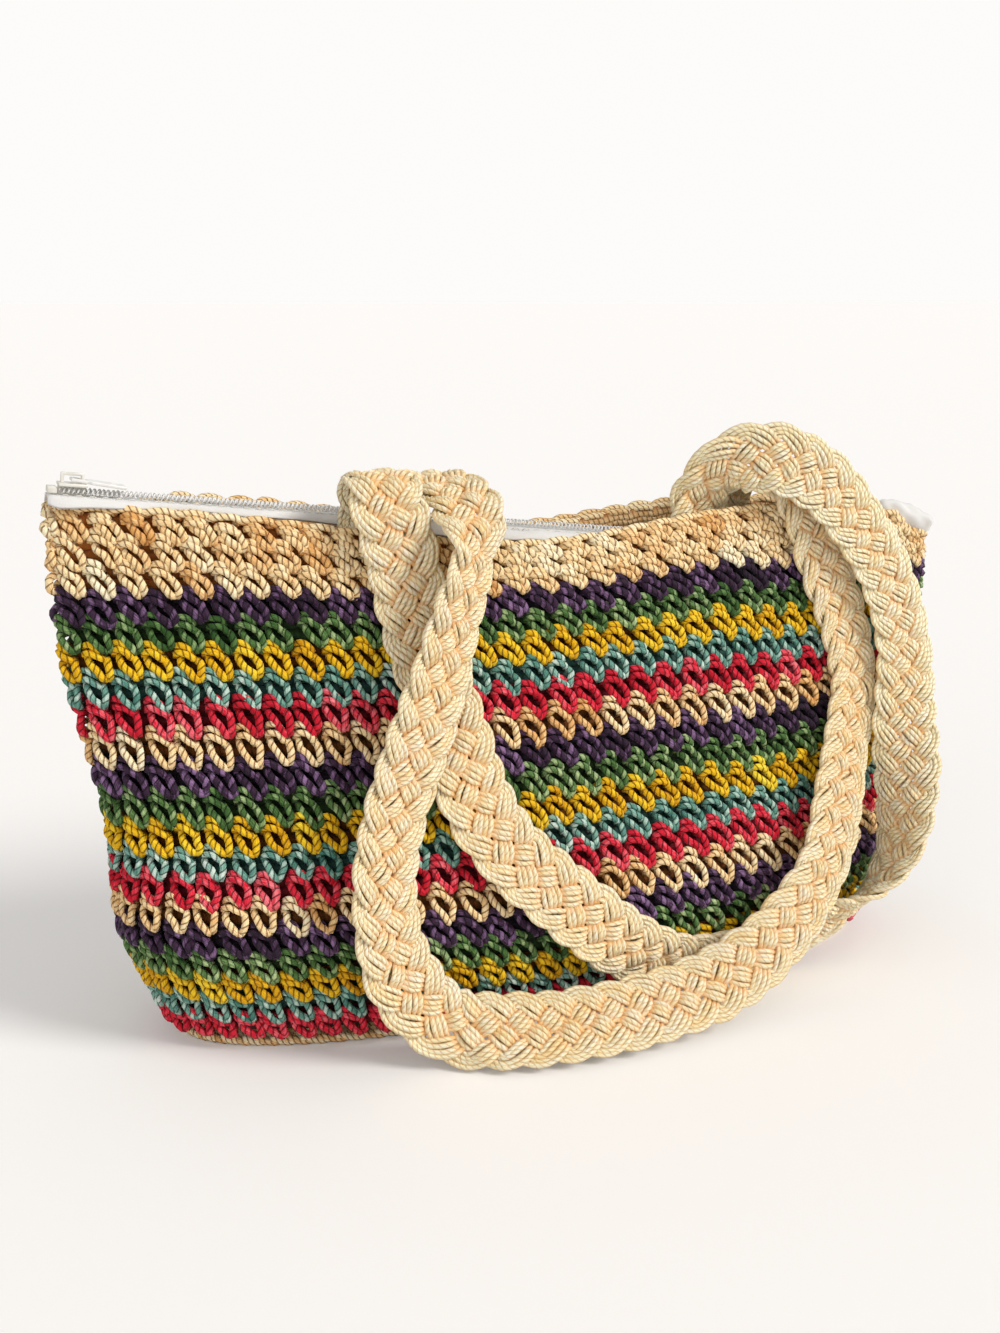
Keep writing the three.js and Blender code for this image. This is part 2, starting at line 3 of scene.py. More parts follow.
import bmesh
import bpy
import numpy as np
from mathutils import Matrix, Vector


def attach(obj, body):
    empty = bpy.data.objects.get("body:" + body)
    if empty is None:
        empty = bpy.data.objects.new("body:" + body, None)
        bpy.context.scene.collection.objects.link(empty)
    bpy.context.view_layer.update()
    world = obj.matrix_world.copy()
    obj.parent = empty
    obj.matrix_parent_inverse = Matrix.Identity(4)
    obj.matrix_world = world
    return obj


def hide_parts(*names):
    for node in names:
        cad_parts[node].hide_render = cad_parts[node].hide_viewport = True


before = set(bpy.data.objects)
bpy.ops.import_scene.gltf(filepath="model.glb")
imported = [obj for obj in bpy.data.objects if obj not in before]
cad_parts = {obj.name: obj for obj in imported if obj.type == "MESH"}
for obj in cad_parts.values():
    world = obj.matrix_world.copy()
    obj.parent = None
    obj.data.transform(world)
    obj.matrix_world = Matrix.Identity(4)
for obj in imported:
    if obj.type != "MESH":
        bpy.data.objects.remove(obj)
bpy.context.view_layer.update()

MM = 0.001
TURN = 2 * math.pi
rng = np.random.default_rng(11)

# Wall of the bag, with the values of the CAD model in millimetres
BASE_THICKNESS = 6.0
WALL_LEVELS = np.array([
    [289 / 2, 92 / 2, BASE_THICKNESS],
    [317 / 2, 112 / 2, 41.0],
    [322 / 2, 86 / 2, 83.0],
    [345 / 2, 58 / 2, 139.0],
    [350 / 2, 42 / 2, 189.0],
])
RIM_HALF_LENGTH, RIM_HALF_DEPTH, RIM_HEIGHT = WALL_LEVELS[-1]
RIM_DIP, RIM_DIP_PLACE, RIM_DIP_SPREAD = 16.5, -0.08, 0.5
RIM_DROOP, RIM_DROOP_START = 24.0, 0.2
SAG_POWER = 4
BASE_SQUARENESS = 2.3
TIP_CLOSING = 3.0
WALL_THICKNESS = 5.0
ROUND_RELIEF = 1.7
CLOTH_CLEARANCE = 1.0
STRIPES = ["red", "teal", "yellow", "green", "purple", "natural"] * 2
STRIPES += ["red", "teal", "yellow", "green", "purple"]
RIM_ROUNDS = 3
ROUND_COUNT = len(STRIPES) + RIM_ROUNDS


class Curve:
    """Centripetal spline through points, as the CAD model's curves are."""

    def __init__(self, points):
        self.points = np.asarray(points, float)
        first = 2 * self.points[0] - self.points[1]
        last = 2 * self.points[-1] - self.points[-2]
        self.padded = np.vstack([first, self.points, last])
        self.table = np.linspace(0, 1, 201)
        steps = np.diff(self.at(self.table), axis=0)
        self.lengths = np.concatenate([[0], np.cumsum(np.linalg.norm(steps, axis=1))])

    def at(self, t):
        t = np.atleast_1d(np.asarray(t, float))
        spans = len(self.points) - 1
        place = np.clip(t * spans, 0, spans - 1e-9)
        i = np.floor(place).astype(int)
        w = (place - i)[:, None]
        p0, p1, p2, p3 = (self.padded[i + k] for k in range(4))

        def gap(a, b):
            return np.maximum(((a - b) ** 2).sum(1) ** 0.25, 1e-4)[:, None]

        d0, d1, d2 = gap(p0, p1), gap(p1, p2), gap(p2, p3)
        m1 = ((p1 - p0) / d0 - (p2 - p0) / (d0 + d1) + (p2 - p1) / d1) * d1
        m2 = ((p2 - p1) / d1 - (p3 - p1) / (d1 + d2) + (p3 - p2) / d2) * d1
        c2 = -3 * p1 + 3 * p2 - 2 * m1 - m2
        c3 = 2 * p1 - 2 * p2 + m1 + m2
        return p1 + m1 * w + c2 * w ** 2 + c3 * w ** 3

    def even(self, u):
        """Parameter of the point at a share u of the curve's length."""
        return np.interp(np.asarray(u) * self.lengths[-1], self.lengths, self.table)


wall_profile = Curve(WALL_LEVELS)
WALL_LENGTH = wall_profile.lengths[-1]


def signed_power(value, power):
    return np.sign(value) * np.abs(value) ** power


def ease(value, start, span):
    """How far a value has come over a span, from 0 to 1."""
    return np.clip((value - start) / span, 0, 1)


def oval_power(v):
    """Power of the outline at a height v, squarer at the base than at the rim."""
    return 2 / (BASE_SQUARENESS + (2 - BASE_SQUARENESS) * v)


def rim_drop(place):
    """Fall of the rim at a place along the bag from -1 to 1."""
    dip = RIM_DIP * np.exp(-(((place - RIM_DIP_PLACE) / RIM_DIP_SPREAD) ** 2))
    past = np.maximum(0, (place - RIM_DROOP_START) / (1 - RIM_DROOP_START))
    return dip + RIM_DROOP * past * past


def tip_inset(v, inset):
    """Inset of the tips, larger up the wall, where the two sides close on each other."""
    return inset + TIP_CLOSING * v * v * np.maximum(0, inset - ROUND_RELIEF)


def wall_point(v, turn, inset=0.0):
    """Point of the wall at a height v from 0 to 1, an angle, and a depth inside it."""
    v, turn, inset = np.broadcast_arrays(np.atleast_1d(v).astype(float), turn, inset)
    level = wall_profile.at(wall_profile.even(v.ravel())).reshape(v.shape + (3,))
    power = oval_power(v)
    place = signed_power(np.cos(turn), power)
    oval = signed_power(np.sin(turn), power)
    lens = np.sign(oval) * (1 - place * place)
    depth = oval + (lens - oval) * v * v
    x = (level[..., 0] - tip_inset(v, inset)) * place
    y = (level[..., 1] - inset) * depth
    z = level[..., 2] - rim_drop(place) * v ** SAG_POWER
    return np.stack([x, y, z], -1)


def unit(a):
    return a / np.maximum(np.linalg.norm(a, axis=-1, keepdims=True), 1e-12)


# How far the rows of stitches stand above an even spacing, in millimetres, over the height
# of the wall and the place along it
ROW_HEIGHTS = np.array([0, 0.125, 0.325, 0.425, 0.625, 0.725, 0.85, 0.93, 1.0])
ROW_PLACES = np.array([-1, -0.97, -0.65, -0.5, -0.1, 0.2, 0.35, 0.52, 0.8, 1])
ROW_SHIFTS = np.array([
    [0, 0, 0, 0, 0, 0, 0, 0, 0, 0],
    [0.5, 0.5, 0.8, 2.4, -2.6, -2.8, -3, -2, -1, -0.5],
    [-0.3, -0.3, -0.3, 0, 0, 0.8, 1, -1.6, -1, -0.5],
    [-2.4, -2.4, -3, -2.8, -0.6, -0.8, -1.2, -2, -1.5, -1],
    [2.4, 2.4, 2.4, 2.2, 3.5, 3.5, 2.6, 0.6, 0.5, 0.3],
    [2.2, 2.2, 2.5, 3.3, 3.6, 3.6, 3.2, 0.8, 0.8, 0.5],
    [1.8, 1.5, 2, 3, 3.5, 3.5, 3, 0.8, 0.5, 0.3],
    [2.2, 1.4, 0.5, 1, 1.2, 0.6, -0.2, -1.5, -0.5, 0],
    [2.4, 0.7, -0.8, -1, -1.5, -2.5, -3.5, -4, -1.5, 0],
])


def row_shift(place, v):
    """Shift of a row of stitches at places along the bag and a height v."""
    across = np.array([np.interp(place, ROW_PLACES, row) for row in ROW_SHIFTS])
    i = min(int(np.searchsorted(ROW_HEIGHTS, v, side="right")) - 1, len(ROW_HEIGHTS) - 2)
    w = (v - ROW_HEIGHTS[i]) / (ROW_HEIGHTS[i + 1] - ROW_HEIGHTS[i])
    return across[i] * (1 - w) + across[i + 1] * w


# Table of the wall over height and share of the way round, for quick placing of twine
TABLE_V, TABLE_U = 80, 720
TABLE_TURNS = 4001
NORMAL_SPAN = 3
# Share of the wall's depth at which twine is held on its own side of a narrow tip
LEAST_DEPTH_SHARE = 0.2
table_turns = np.linspace(0, TURN, TABLE_TURNS)
table_points = np.zeros((TABLE_V + 1, TABLE_U + 1, 3))
ring_length = np.zeros(TABLE_V + 1)
for row in range(TABLE_V + 1):
    ring = wall_point(row / TABLE_V, table_turns)
    run = np.concatenate([[0], np.cumsum(np.linalg.norm(np.diff(ring, axis=0), axis=1))])
    ring_length[row] = run[-1]
    turns = np.interp(np.linspace(0, run[-1], TABLE_U + 1), run, table_turns)
    table_points[row] = wall_point(row / TABLE_V, turns)
    table_points[row, :, 2] += row_shift(table_points[row, :, 0] / RIM_HALF_LENGTH, row / TABLE_V)
open_table = table_points[:, :-1]
around = np.roll(open_table, -NORMAL_SPAN, 1) - np.roll(open_table, NORMAL_SPAN, 1)
upward = np.gradient(open_table, axis=0)
table_normals = unit(np.cross(around, upward))
table_normals = np.concatenate([table_normals, table_normals[:, :1]], 1)


def on_wall(u, v, out):
    """Points on the wall at shares u of the way round, heights v and heights out of it."""
    u = np.mod(u, 1.0) * TABLE_U
    inside = np.clip(v, 0, 1)
    h = inside * TABLE_V
    i = np.minimum(h.astype(int), TABLE_V - 1)
    j = np.minimum(u.astype(int), TABLE_U - 1)
    a, b = (h - i)[..., None], (u - j)[..., None]

    def mix(table):
        low = table[i, j] * (1 - b) + table[i, j + 1] * b
        high = table[i + 1, j] * (1 - b) + table[i + 1, j + 1] * b
        return low * (1 - a) + high * a

    normal = unit(mix(table_normals))
    surface = mix(table_points)
    point = surface + normal * np.asarray(out)[..., None]
    own_side = surface[..., 1] * LEAST_DEPTH_SHARE
    crossed = (point[..., 1] - own_side) * surface[..., 1] < 0
    point[..., 1] = np.where(crossed, own_side, point[..., 1])
    point[..., 2] += (v - inside) * WALL_LENGTH
    return point, normal


def add_object(name, data):
    made = bpy.data.objects.new(name, data)
    bpy.context.scene.collection.objects.link(made)
    return made


def smooth_piece(name, mesh, material):
    """Object of a smooth mesh with one material."""
    mesh.polygons.foreach_set("use_smooth", np.ones(len(mesh.polygons), bool))
    mesh.materials.clear()
    mesh.materials.append(material)
    return add_object(name, mesh)


# Meshes of twine: sections with a radius of 1, and the start of a section without normals
ROUND = np.array([[math.cos(a), math.sin(a)] for a in np.arange(5) * TURN / 5])
FLAT = np.array([[0.3, 0.0], [0.0, 1.0], [-0.3, 0.0], [0.0, -1.0]])
SLIM = np.array([[1, 0], [0, 0.8], [-1, 0], [0, -0.8]])
FIRST_SIDE = np.array([0.31, 0.52, 0.79])
# Length of fibre pattern over which strands start at random
FIBRE_RUN = 400.0


class Bundle:
    """Closed tubes of twine that make one piece."""

    def __init__(self):
        self.points, self.loops, self.sizes = [], [], []
        self.uvs, self.tones, self.painted_shades = [], [], []
        self.count = 0

    def add(self, paths, radius, section=ROUND, groove=1.0, tone=0.0, normals=None, closed=False):
        """Tubes along paths, an array of strands, rings and coordinates in millimetres.

        A low painted shade value darkens the colour, tone shifts it, and first corners follow the
        normals.
        """
        paths = np.asarray(paths, float)
        strands, rings, _ = paths.shape
        if closed:
            tangent = unit(np.roll(paths, -1, 1) - np.roll(paths, 1, 1))
        else:
            tangent = unit(np.gradient(paths, axis=1))
        steps = np.linalg.norm(np.diff(paths, axis=1), axis=2)
        length = np.concatenate([np.zeros((strands, 1)), np.cumsum(steps, 1)], 1)
        side = np.zeros_like(paths)
        if normals is None:
            start = FIRST_SIDE
            for r in range(rings):
                flat = start - (start * tangent[:, r]).sum(-1, keepdims=True) * tangent[:, r]
                start = unit(flat)
                side[:, r] = start
        else:
            flat = normals - (normals * tangent).sum(-1, keepdims=True) * tangent
            side = unit(flat)
        other = np.cross(tangent, side)
        corners = len(section)
        points = paths[:, :, None] + radius * (
            section[:, :1] * side[:, :, None] + section[:, 1:] * other[:, :, None])
        s, r, c = np.meshgrid(np.arange(strands), np.arange(rings if closed else rings - 1),
                              np.arange(corners), indexing="ij")
        ahead = (r + 1) % rings
        turn = (c + 1) % corners

        def index(ring, corner):
            return self.count + (s * rings + ring) * corners + corner

        quads = np.stack([index(r, c), index(r, turn), index(ahead, turn), index(ahead, c)], -1)
        fibre_start = rng.uniform(0, FIBRE_RUN, (strands, 1))
        along = np.concatenate([length, length[:, -1:] + steps[:, -1:]], 1) + fibre_start
        low, high = along[s, r], along[s, r + 1]
        u0, u1 = c / corners, (c + 1) / corners
        uv = np.stack([np.stack([u0, low], -1), np.stack([u1, low], -1),
                       np.stack([u1, high], -1), np.stack([u0, high], -1)], -2)
        self.loops.append(quads.reshape(-1))
        self.sizes.append(np.full(quads.size // 4, 4))
        self.uvs.append(uv.reshape(-1, 2))
        if not closed:
            first = self.count + (np.arange(strands)[:, None] * rings) * corners
            order = np.arange(corners)
            self.loops.append((first + order[::-1]).reshape(-1))
            self.loops.append((first + (rings - 1) * corners + order).reshape(-1))
            self.sizes.append(np.full(2 * strands, corners))
            self.uvs.append(np.zeros((2 * strands * corners, 2)))
        self.points.append(points.reshape(-1, 3))
        tone = np.broadcast_to(np.asarray(tone, float).reshape(-1, 1, 1), (strands, rings, corners))
        self.tones.append(tone.reshape(-1))
        self.painted_shades.append(np.broadcast_to(groove, (strands, rings, corners)).reshape(-1))
        self.count += strands * rings * corners

    def piece(self, name, material):
        points = np.concatenate(self.points) * MM
        loops = np.concatenate(self.loops).astype(np.int32)
        sizes = np.concatenate(self.sizes)
        starts = np.concatenate([[0], np.cumsum(sizes)[:-1]]).astype(np.int32)
        mesh = bpy.data.meshes.new(name)
        mesh.vertices.add(len(points))
        mesh.vertices.foreach_set("co", points.astype(np.float32).ravel())
        mesh.loops.add(len(loops))
        mesh.loops.foreach_set("vertex_index", loops)
        mesh.polygons.add(len(sizes))
        mesh.polygons.foreach_set("loop_start", starts)
        mesh.update(calc_edges=True)
        layer = mesh.uv_layers.new(name="twine")
        layer.data.foreach_set("uv", np.concatenate(self.uvs).astype(np.float32).ravel())
        for label, values in (("tone", self.tones), ("groove", self.painted_shades)):
            attribute = mesh.attributes.new(label, "FLOAT", "POINT")
            attribute.data.foreach_set("value", np.concatenate(values).astype(np.float32))
        return smooth_piece(name, mesh, material)


def loft_piece(name, rings, material):
    """Closed skin through rings of points in millimetres, each a closed loop, with flat ends."""
    rings = np.asarray(rings, float)
    count, corners, _ = rings.shape
    r, c = np.meshgrid(np.arange(count - 1), np.arange(corners), indexing="ij")
    low, turn = r * corners, (c + 1) % corners
    quads = np.stack([low + c, low + turn, low + corners + turn, low + corners + c], -1)
    faces = quads.reshape(-1, 4).tolist()
    faces += [list(range(corners))[::-1], list(range((count - 1) * corners, count * corners))]
    mesh = bpy.data.meshes.new(name)
    mesh.from_pydata((rings.reshape(-1, 3) * MM).tolist(), [], faces)
    shell = bmesh.new()
    shell.from_mesh(mesh)
    bmesh.ops.recalc_face_normals(shell, faces=shell.faces)
    shell.to_mesh(mesh)
    shell.free()
    return smooth_piece(name, mesh, material)


def place_piece(piece, nodes=(), body="bag"):
    """Puts a piece on its body and the CAD nodes that it replaces."""
    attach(piece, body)
    if nodes:
        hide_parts(*nodes)


def spline(knots, counts):
    """Even spline through knots of many strands, with a count of rings for each span."""
    before = np.concatenate([2 * knots[:, :1] - knots[:, 1:2], knots[:, :-1]], 1)
    after = np.concatenate([knots[:, 1:], 2 * knots[:, -1:] - knots[:, -2:-1]], 1)
    slope = (after - before) / 2
    rows = []
    for i, count in enumerate(counts):
        w = (np.arange(count) / count)[None, :, None]
        p, q = knots[:, i:i + 1], knots[:, i + 1:i + 2]
        m, n = slope[:, i:i + 1], slope[:, i + 1:i + 2]
        rows.append((2 * w ** 3 - 3 * w ** 2 + 1) * p + (w ** 3 - 2 * w ** 2 + w) * m
                    + (3 * w ** 2 - 2 * w ** 3) * q + (w ** 3 - w ** 2) * n)
    rows.append(knots[:, -1:])
    return np.concatenate(rows, 1)


# Materials
def new_material(name, inputs):
    """Material with values set on its shader."""
    material = bpy.data.materials.new(name)
    material.use_nodes = True
    tree = material.node_tree
    shader = tree.nodes["Principled BSDF"]
    for key, value in inputs.items():
        shader.inputs[key].default_value = value
    return material, tree, shader


def node(tree, kind, inputs=None, **settings):
    made = tree.nodes.new(kind)
    for key, value in settings.items():
        setattr(made, key, value)
    for key, value in (inputs or {}).items():
        if isinstance(value, bpy.types.NodeSocket):
            tree.links.new(value, made.inputs[key])
        else:
            made.inputs[key].default_value = value
    return made


def math_node(tree, operation, *values, clamp=False):
    inputs = dict(enumerate(values))
    return node(tree, "ShaderNodeMath", inputs, operation=operation, use_clamp=clamp).outputs[0]


def noise(tree, place, scale, detail):
    inputs = {"Vector": place, "Scale": scale, "Detail": detail}
    return node(tree, "ShaderNodeTexNoise", inputs).outputs[0]


def colour_ramp(tree, level, first, last, *between):
    """Colour at a level, from stops that are each a position and a colour."""
    ramp = node(tree, "ShaderNodeValToRGB", {"Fac": level})
    stops = ramp.color_ramp.elements
    for index, (position, colour) in enumerate((first, last)):
        stops[index].position = position
        stops[index].color = (*colour, 1)
    for position, colour in between:
        stops.new(position).color = (*colour, 1)
    return ramp.outputs[0]


def add_bump(tree, shader, height, strength, distance):
    inputs = {"Height": height, "Strength": strength, "Distance": distance}
    tree.links.new(node(tree, "ShaderNodeBump", inputs).outputs[0], shader.inputs["Normal"])


def twine_material(name, dark, middle, light, painted_shade_colour, lay=4.2, hatch=0.85, spread=0.08, plies=0.06):
    """Two-ply twine: fibres along the plies, a crease between them darkened with painted shade, painted
    shade where the shade attribute is low, uneven dye.
    """
    material, tree, shader = new_material(name, {
        "Roughness": 0.7, "Specular IOR Level": 0.22, "Sheen Weight": 0.04, "Sheen Roughness": 0.45})
    uv = node(tree, "ShaderNodeUVMap", uv_map="twine").outputs[0]
    fibre_place = node(tree, "ShaderNodeMapping", {"Vector": uv, "Scale": (16.0, 0.42, 1.0)}).outputs[0]
    coordinates = node(tree, "ShaderNodeTexCoord").outputs["Object"]
    fibres = noise(tree, fibre_place, 1.0, 3.0)
    spots = noise(tree, coordinates, 190.0, 2.0)
    patches = noise(tree, coordinates, 24.0, 1.0)
    tone = node(tree, "ShaderNodeAttribute", attribute_name="tone").outputs["Fac"]
    groove = node(tree, "ShaderNodeAttribute", attribute_name="groove").outputs["Fac"]
    # A painted shade value under 0 stands for painted shade behind the stitches, which scales the colour
    # down
    shadow = math_node(tree, "ADD", groove, 1.0, clamp=True)
    around, along, _ = node(tree, "ShaderNodeSeparateXYZ", {"Vector": uv}).outputs
    turn = math_node(tree, "MULTIPLY", around, TURN)
    ply = math_node(tree, "SINE", math_node(tree, "MULTIPLY_ADD", along, -TURN / lay, turn))
    # Painted shade: dark lines along the crease between the two plies
    drawn = math_node(tree, "MULTIPLY", math_node(tree, "ABSOLUTE", ply), 1.9, clamp=True)
    drawn = math_node(tree, "MULTIPLY_ADD", drawn, hatch, 1 - hatch)
    groove = math_node(tree, "MULTIPLY", groove, drawn)
    level = math_node(tree, "MULTIPLY_ADD", fibres, 0.8, -0.3)
    for part, share in ((spots, 0.45), (patches, 0.35), (tone, spread), (ply, plies)):
        level = math_node(tree, "MULTIPLY_ADD", part, share, level)
    dyed = colour_ramp(tree, level, (0.18, dark), (0.85, light), (0.5, middle))
    # Painted shade: the dye turns towards the painted shade colour where the shade value is low
    colour = node(tree, "ShaderNodeMix", {"Factor": groove, 6: (*painted_shade_colour, 1), 7: dyed},
                  data_type="RGBA").outputs[2]
    colour = node(tree, "ShaderNodeVectorMath", {0: colour, "Scale": shadow},
                  operation="SCALE").outputs[0]
    tree.links.new(colour, shader.inputs["Base Color"])
    add_bump(tree, shader, math_node(tree, "MULTIPLY_ADD", fibres, 0.6, groove), 0.9, 0.0008)
    return material


def cloth_material(name, pale, shade, scale):
    """Plain woven cotton."""
    material, tree, shader = new_material(name, {"Roughness": 0.88, "Sheen Weight": 0.2})
    coordinates = node(tree, "ShaderNodeTexCoord").outputs["Object"]
    wave = {"Vector": coordinates, "Scale": scale, "Distortion": 0.6}
    warp = node(tree, "ShaderNodeTexWave", wave, bands_direction="X").outputs["Fac"]
    weft = node(tree, "ShaderNodeTexWave", wave, bands_direction="Z").outputs["Fac"]
    weave = math_node(tree, "MULTIPLY", warp, weft)
    blotch = math_node(tree, "MULTIPLY", noise(tree, coordinates, 60.0, 3.0), 0.8)
    level = math_node(tree, "MULTIPLY_ADD", weave, 0.4, blotch)
    tree.links.new(colour_ramp(tree, level, (0.2, shade), (0.8, pale)), shader.inputs["Base Color"])
    add_bump(tree, shader, weave, 0.35, 0.0003)
    return material


def hard_material(name, pale, shade, roughness, metallic, bump_scale):
    """Enamel or plastic with faint mottling and scuffs."""
    material, tree, shader = new_material(name, {"Metallic": metallic})
    coordinates = node(tree, "ShaderNodeTexCoord").outputs["Object"]
    cloud = noise(tree, coordinates, 160.0, 4.0)
    scuffs = noise(tree, coordinates, bump_scale, 3.0)
    tree.links.new(colour_ramp(tree, cloud, (0.3, shade), (0.65, pale)), shader.inputs["Base Color"])
    rough = math_node(tree, "MULTIPLY_ADD", scuffs, 0.25, roughness - 0.12)
    tree.links.new(rough, shader.inputs["Roughness"])
    add_bump(tree, shader, scuffs, 0.12, 0.0002)
    return material


# Twines: their dark, middle and light dye and the colour of the painted shade in their creases and
# recesses
DYES = {
    "natural": ((0.76, 0.39, 0.12), (0.99, 0.74, 0.39), (0.99, 0.92, 0.66), (0.40, 0.13, 0.022)),
    "red": ((0.44, 0.004, 0.013), (0.76, 0.014, 0.043), (0.98, 0.26, 0.30), (0.09, 0.001, 0.004)),
    "teal": ((0.062, 0.21, 0.165), (0.22, 0.44, 0.355), (0.68, 0.80, 0.71), (0.014, 0.058, 0.047)),
    "yellow": ((0.58, 0.25, 0.002), (0.88, 0.52, 0.006), (0.99, 0.77, 0.05), (0.20, 0.06, 0.001)),
    "green": ((0.027, 0.082, 0.014), (0.10, 0.205, 0.053), (0.46, 0.58, 0.28), (0.009, 0.029, 0.004)),
    # The purple's light dye is uneven dye and also painted glints: its lighter strands stand in for
    # highlights
    "purple": ((0.016, 0.006, 0.017), (0.044, 0.015, 0.046), (0.30, 0.17, 0.34), (0.006, 0.002, 0.006)),
}
DYE_SPREAD = {"natural": 0.12, "teal": 0.07}
# Contrast between the plies: dye, and for purple also painted glints
PLY_CONTRAST = {"teal": 0.18, "green": 0.16, "purple": 0.14}
TWINES = {
    colour: twine_material(colour + "_twine", *dyes, spread=DYE_SPREAD.get(colour, 0.08),
                           plies=PLY_CONTRAST.get(colour, 0.06))
    for colour, dyes in DYES.items()
}
# Strap twine: its dark, middle and light dye and the colour of its painted shade
STRAP_TWINE = twine_material("strap_twine", (0.99, 0.79, 0.41), (0.99, 0.94, 0.66), (0.99, 0.97, 0.82),
                             (0.91, 0.49, 0.17), lay=4.6, hatch=0.55)
COTTON = cloth_material("white_cotton", (0.86, 0.83, 0.77), (0.70, 0.66, 0.58), 420.0)
TAPE_CLOTH = cloth_material("zip_tape_cloth", (0.82, 0.815, 0.80), (0.72, 0.71, 0.69), 700.0)
THREAD = cloth_material("zip_thread", (0.84, 0.82, 0.77), (0.62, 0.59, 0.53), 900.0)
COIL = hard_material("zip_coil_nylon", (0.84, 0.835, 0.82), (0.77, 0.765, 0.75), 0.5, 0.0, 900.0)
ENAMEL = hard_material("white_enamel", (0.81, 0.80, 0.775), (0.70, 0.685, 0.65), 0.34, 0.15, 700.0)
# A darker copy of the white enamel, for the slider and the stops
DARKER_ENAMEL = hard_material("darker_enamel", (0.78, 0.76, 0.69), (0.62, 0.60, 0.53), 0.36, 0.25, 500.0)

# Crocheted rounds: the strands of one stitch, with x to the right, y up the wall and z out
# of it, in millimetres from the middle of its round, and the rings in each span of a strand
STITCHES = 67
STITCH_PITCH = 10.5
TIGHT_LOOP = np.array([
    [-2.9, 2.0, -2.4], [-2.6, 0.7, -0.4], [-1.5, -1.0, 0.8], [0.3, -2.9, 1.4],
    [2.2, -4.8, 1.4], [3.3, -6.1, 0.5], [4.1, -6.0, -1.6], [5.0, -5.5, 0.4],
    [5.2, -3.8, 1.3], [4.5, -1.7, 1.1], [3.4, -0.3, 0.1], [2.2, 0.8, -2.4],
])
OPEN_LOOP = np.array([
    [-3.4, 1.8, -2.4], [-3.4, 0.2, -0.4], [-2.6, -1.7, 0.9], [-1.0, -3.8, 1.5],
    [0.7, -5.8, 1.5], [1.7, -7.0, 0.8], [2.2, -6.9, -1.2], [2.9, -6.6, 0.7],
    [3.5, -4.4, 1.4], [3.9, -2.1, 1.1], [3.4, -0.2, -0.1], [2.5, 1.1, -2.4],
])
LOOP_RINGS = [1, 2, 2, 3, 2, 1, 1, 2, 2, 2, 1]
HEAD_WRAPS = [
    np.array([
        [-4.2, 3.6, -3.2], [-3.7, 5.4, -0.8], [-1.6, 5.9, 0.6],
        [0.6, 4.9, 0.7], [1.9, 3.4, -0.5], [2.1, 2.2, -2.9],
    ]),
    np.array([
        [-4.3, 1.2, -3.0], [-3.9, 2.7, -0.4], [-1.9, 3.2, 0.9],
        [0.6, 2.1, 1.1], [2.3, 0.6, 0.0], [2.8, -0.6, -2.7],
    ]),
]
HEAD_RINGS = [2, 2, 2, 2, 1]
HEAD_GIRTH, TOP_HEAD_SCALE = 0.93, 0.55
# For each colour: how far its loops go from tight to open, its twine's radius, the width of its
# stitches, the rise of their heads and the painted shade of the strips behind, for each corner in the rim
STITCHING = {
    "natural": (1.0, 1.3, 0.96, 0.4, -0.6), "red": (0.9, 1.38, 0.95, 0.4, 0.05),
    "teal": (1.0, 1.24, 0.9, 0.4, 0.05), "yellow": (0.5, 1.4, 0.95, 0.4, -0.45),
    "green": (0.3, 1.28, 0.96, 0.4, 0.05), "purple": (0.0, 1.45, 1.0, 0.0, 0.05),
}
RIM_STITCHING = (0.0, 1.42, 0.96, 0.4, np.array([-0.2, 0.1, 0.9, 0.1]))
STITCH_DEPTH = -1.3
BOTTOM_LOOP_SCALE, FLOOR_GAP = 0.72, 0.1
SHADE_DEPTH, SHADE_RANGE, LEAST_SHADE = 3.4, 3.0, 0.25
# Unevenness: shift between rounds, wide and narrow stitches, spread of stitches and their knots
ROUND_SHIFT = 0.13
PITCH_WARP, WARP_PLACE = 0.07, 0.6
STITCH_SPREAD = np.array([0.4, 0.45])
KNOT_SPREAD, KNOT_SHARES = 0.24, np.array([1.0, 1.0, 0.5])
# Lean of the loops at the right end of the bag, from a height down, and the bow of the right leg
LEAN, LEAN_HEIGHT = 1.3, 6.5
LEG_BOW, LEG_PLACE = 2.6, 2.4
# Strips of twine behind the stitches
STRIP_LOW, STRIP_HIGH, TOP_STRIP_HIGH = -2.4, 2.4, 1.0
STRIP_HALF_WIDTH = 3.1
STRIP_DEPTH, STRIP_SWAY, SWAY_DEPTH = -4.6, 0.5, 0.3
# Edge of the rim behind the zip: how high it is lifted, over what depth, and where
BACK_EDGE_LIFT, BACK_EDGE_DEPTH = 4.0, 8.0
EDGE_START, EDGE_START_EASE = -0.86, 0.12
EDGE_END, EDGE_END_EASE = -0.1, 0.2
BEHIND_START, BEHIND_EASE = 1.0, 3.0
# Links of the chain edge, from the middle of the rim's top
LINK = np.array([
    [-2.4, -1.5, -0.6], [0.2, -0.3, 1.4], [4.0, 0.6, 1.9],
    [7.6, 0.6, 1.7], [10.4, -0.1, 0.8], [12.6, -1.2, -0.8],
])
LINK_RINGS = [1, 2, 2, 2, 1]
LINK_DEPTH, LINK_RADIUS, LINK_SPREAD = -2.5, 1.3, 0.12
LINK_SHADE_DEPTH, LINK_SHADE_RANGE, LEAST_LINK_SHADE = 1.6, 2.2, 0.3
LINK_TONE, LINK_TONE_SPREAD = 0.4, 0.6


def back_edge_reach(place):
    """Share of the lift of the rim's back edge at a place along the bag from -1 to 1."""
    return ease(place, EDGE_START, EDGE_START_EASE) * ease(-place, -EDGE_END, EDGE_END_EASE)


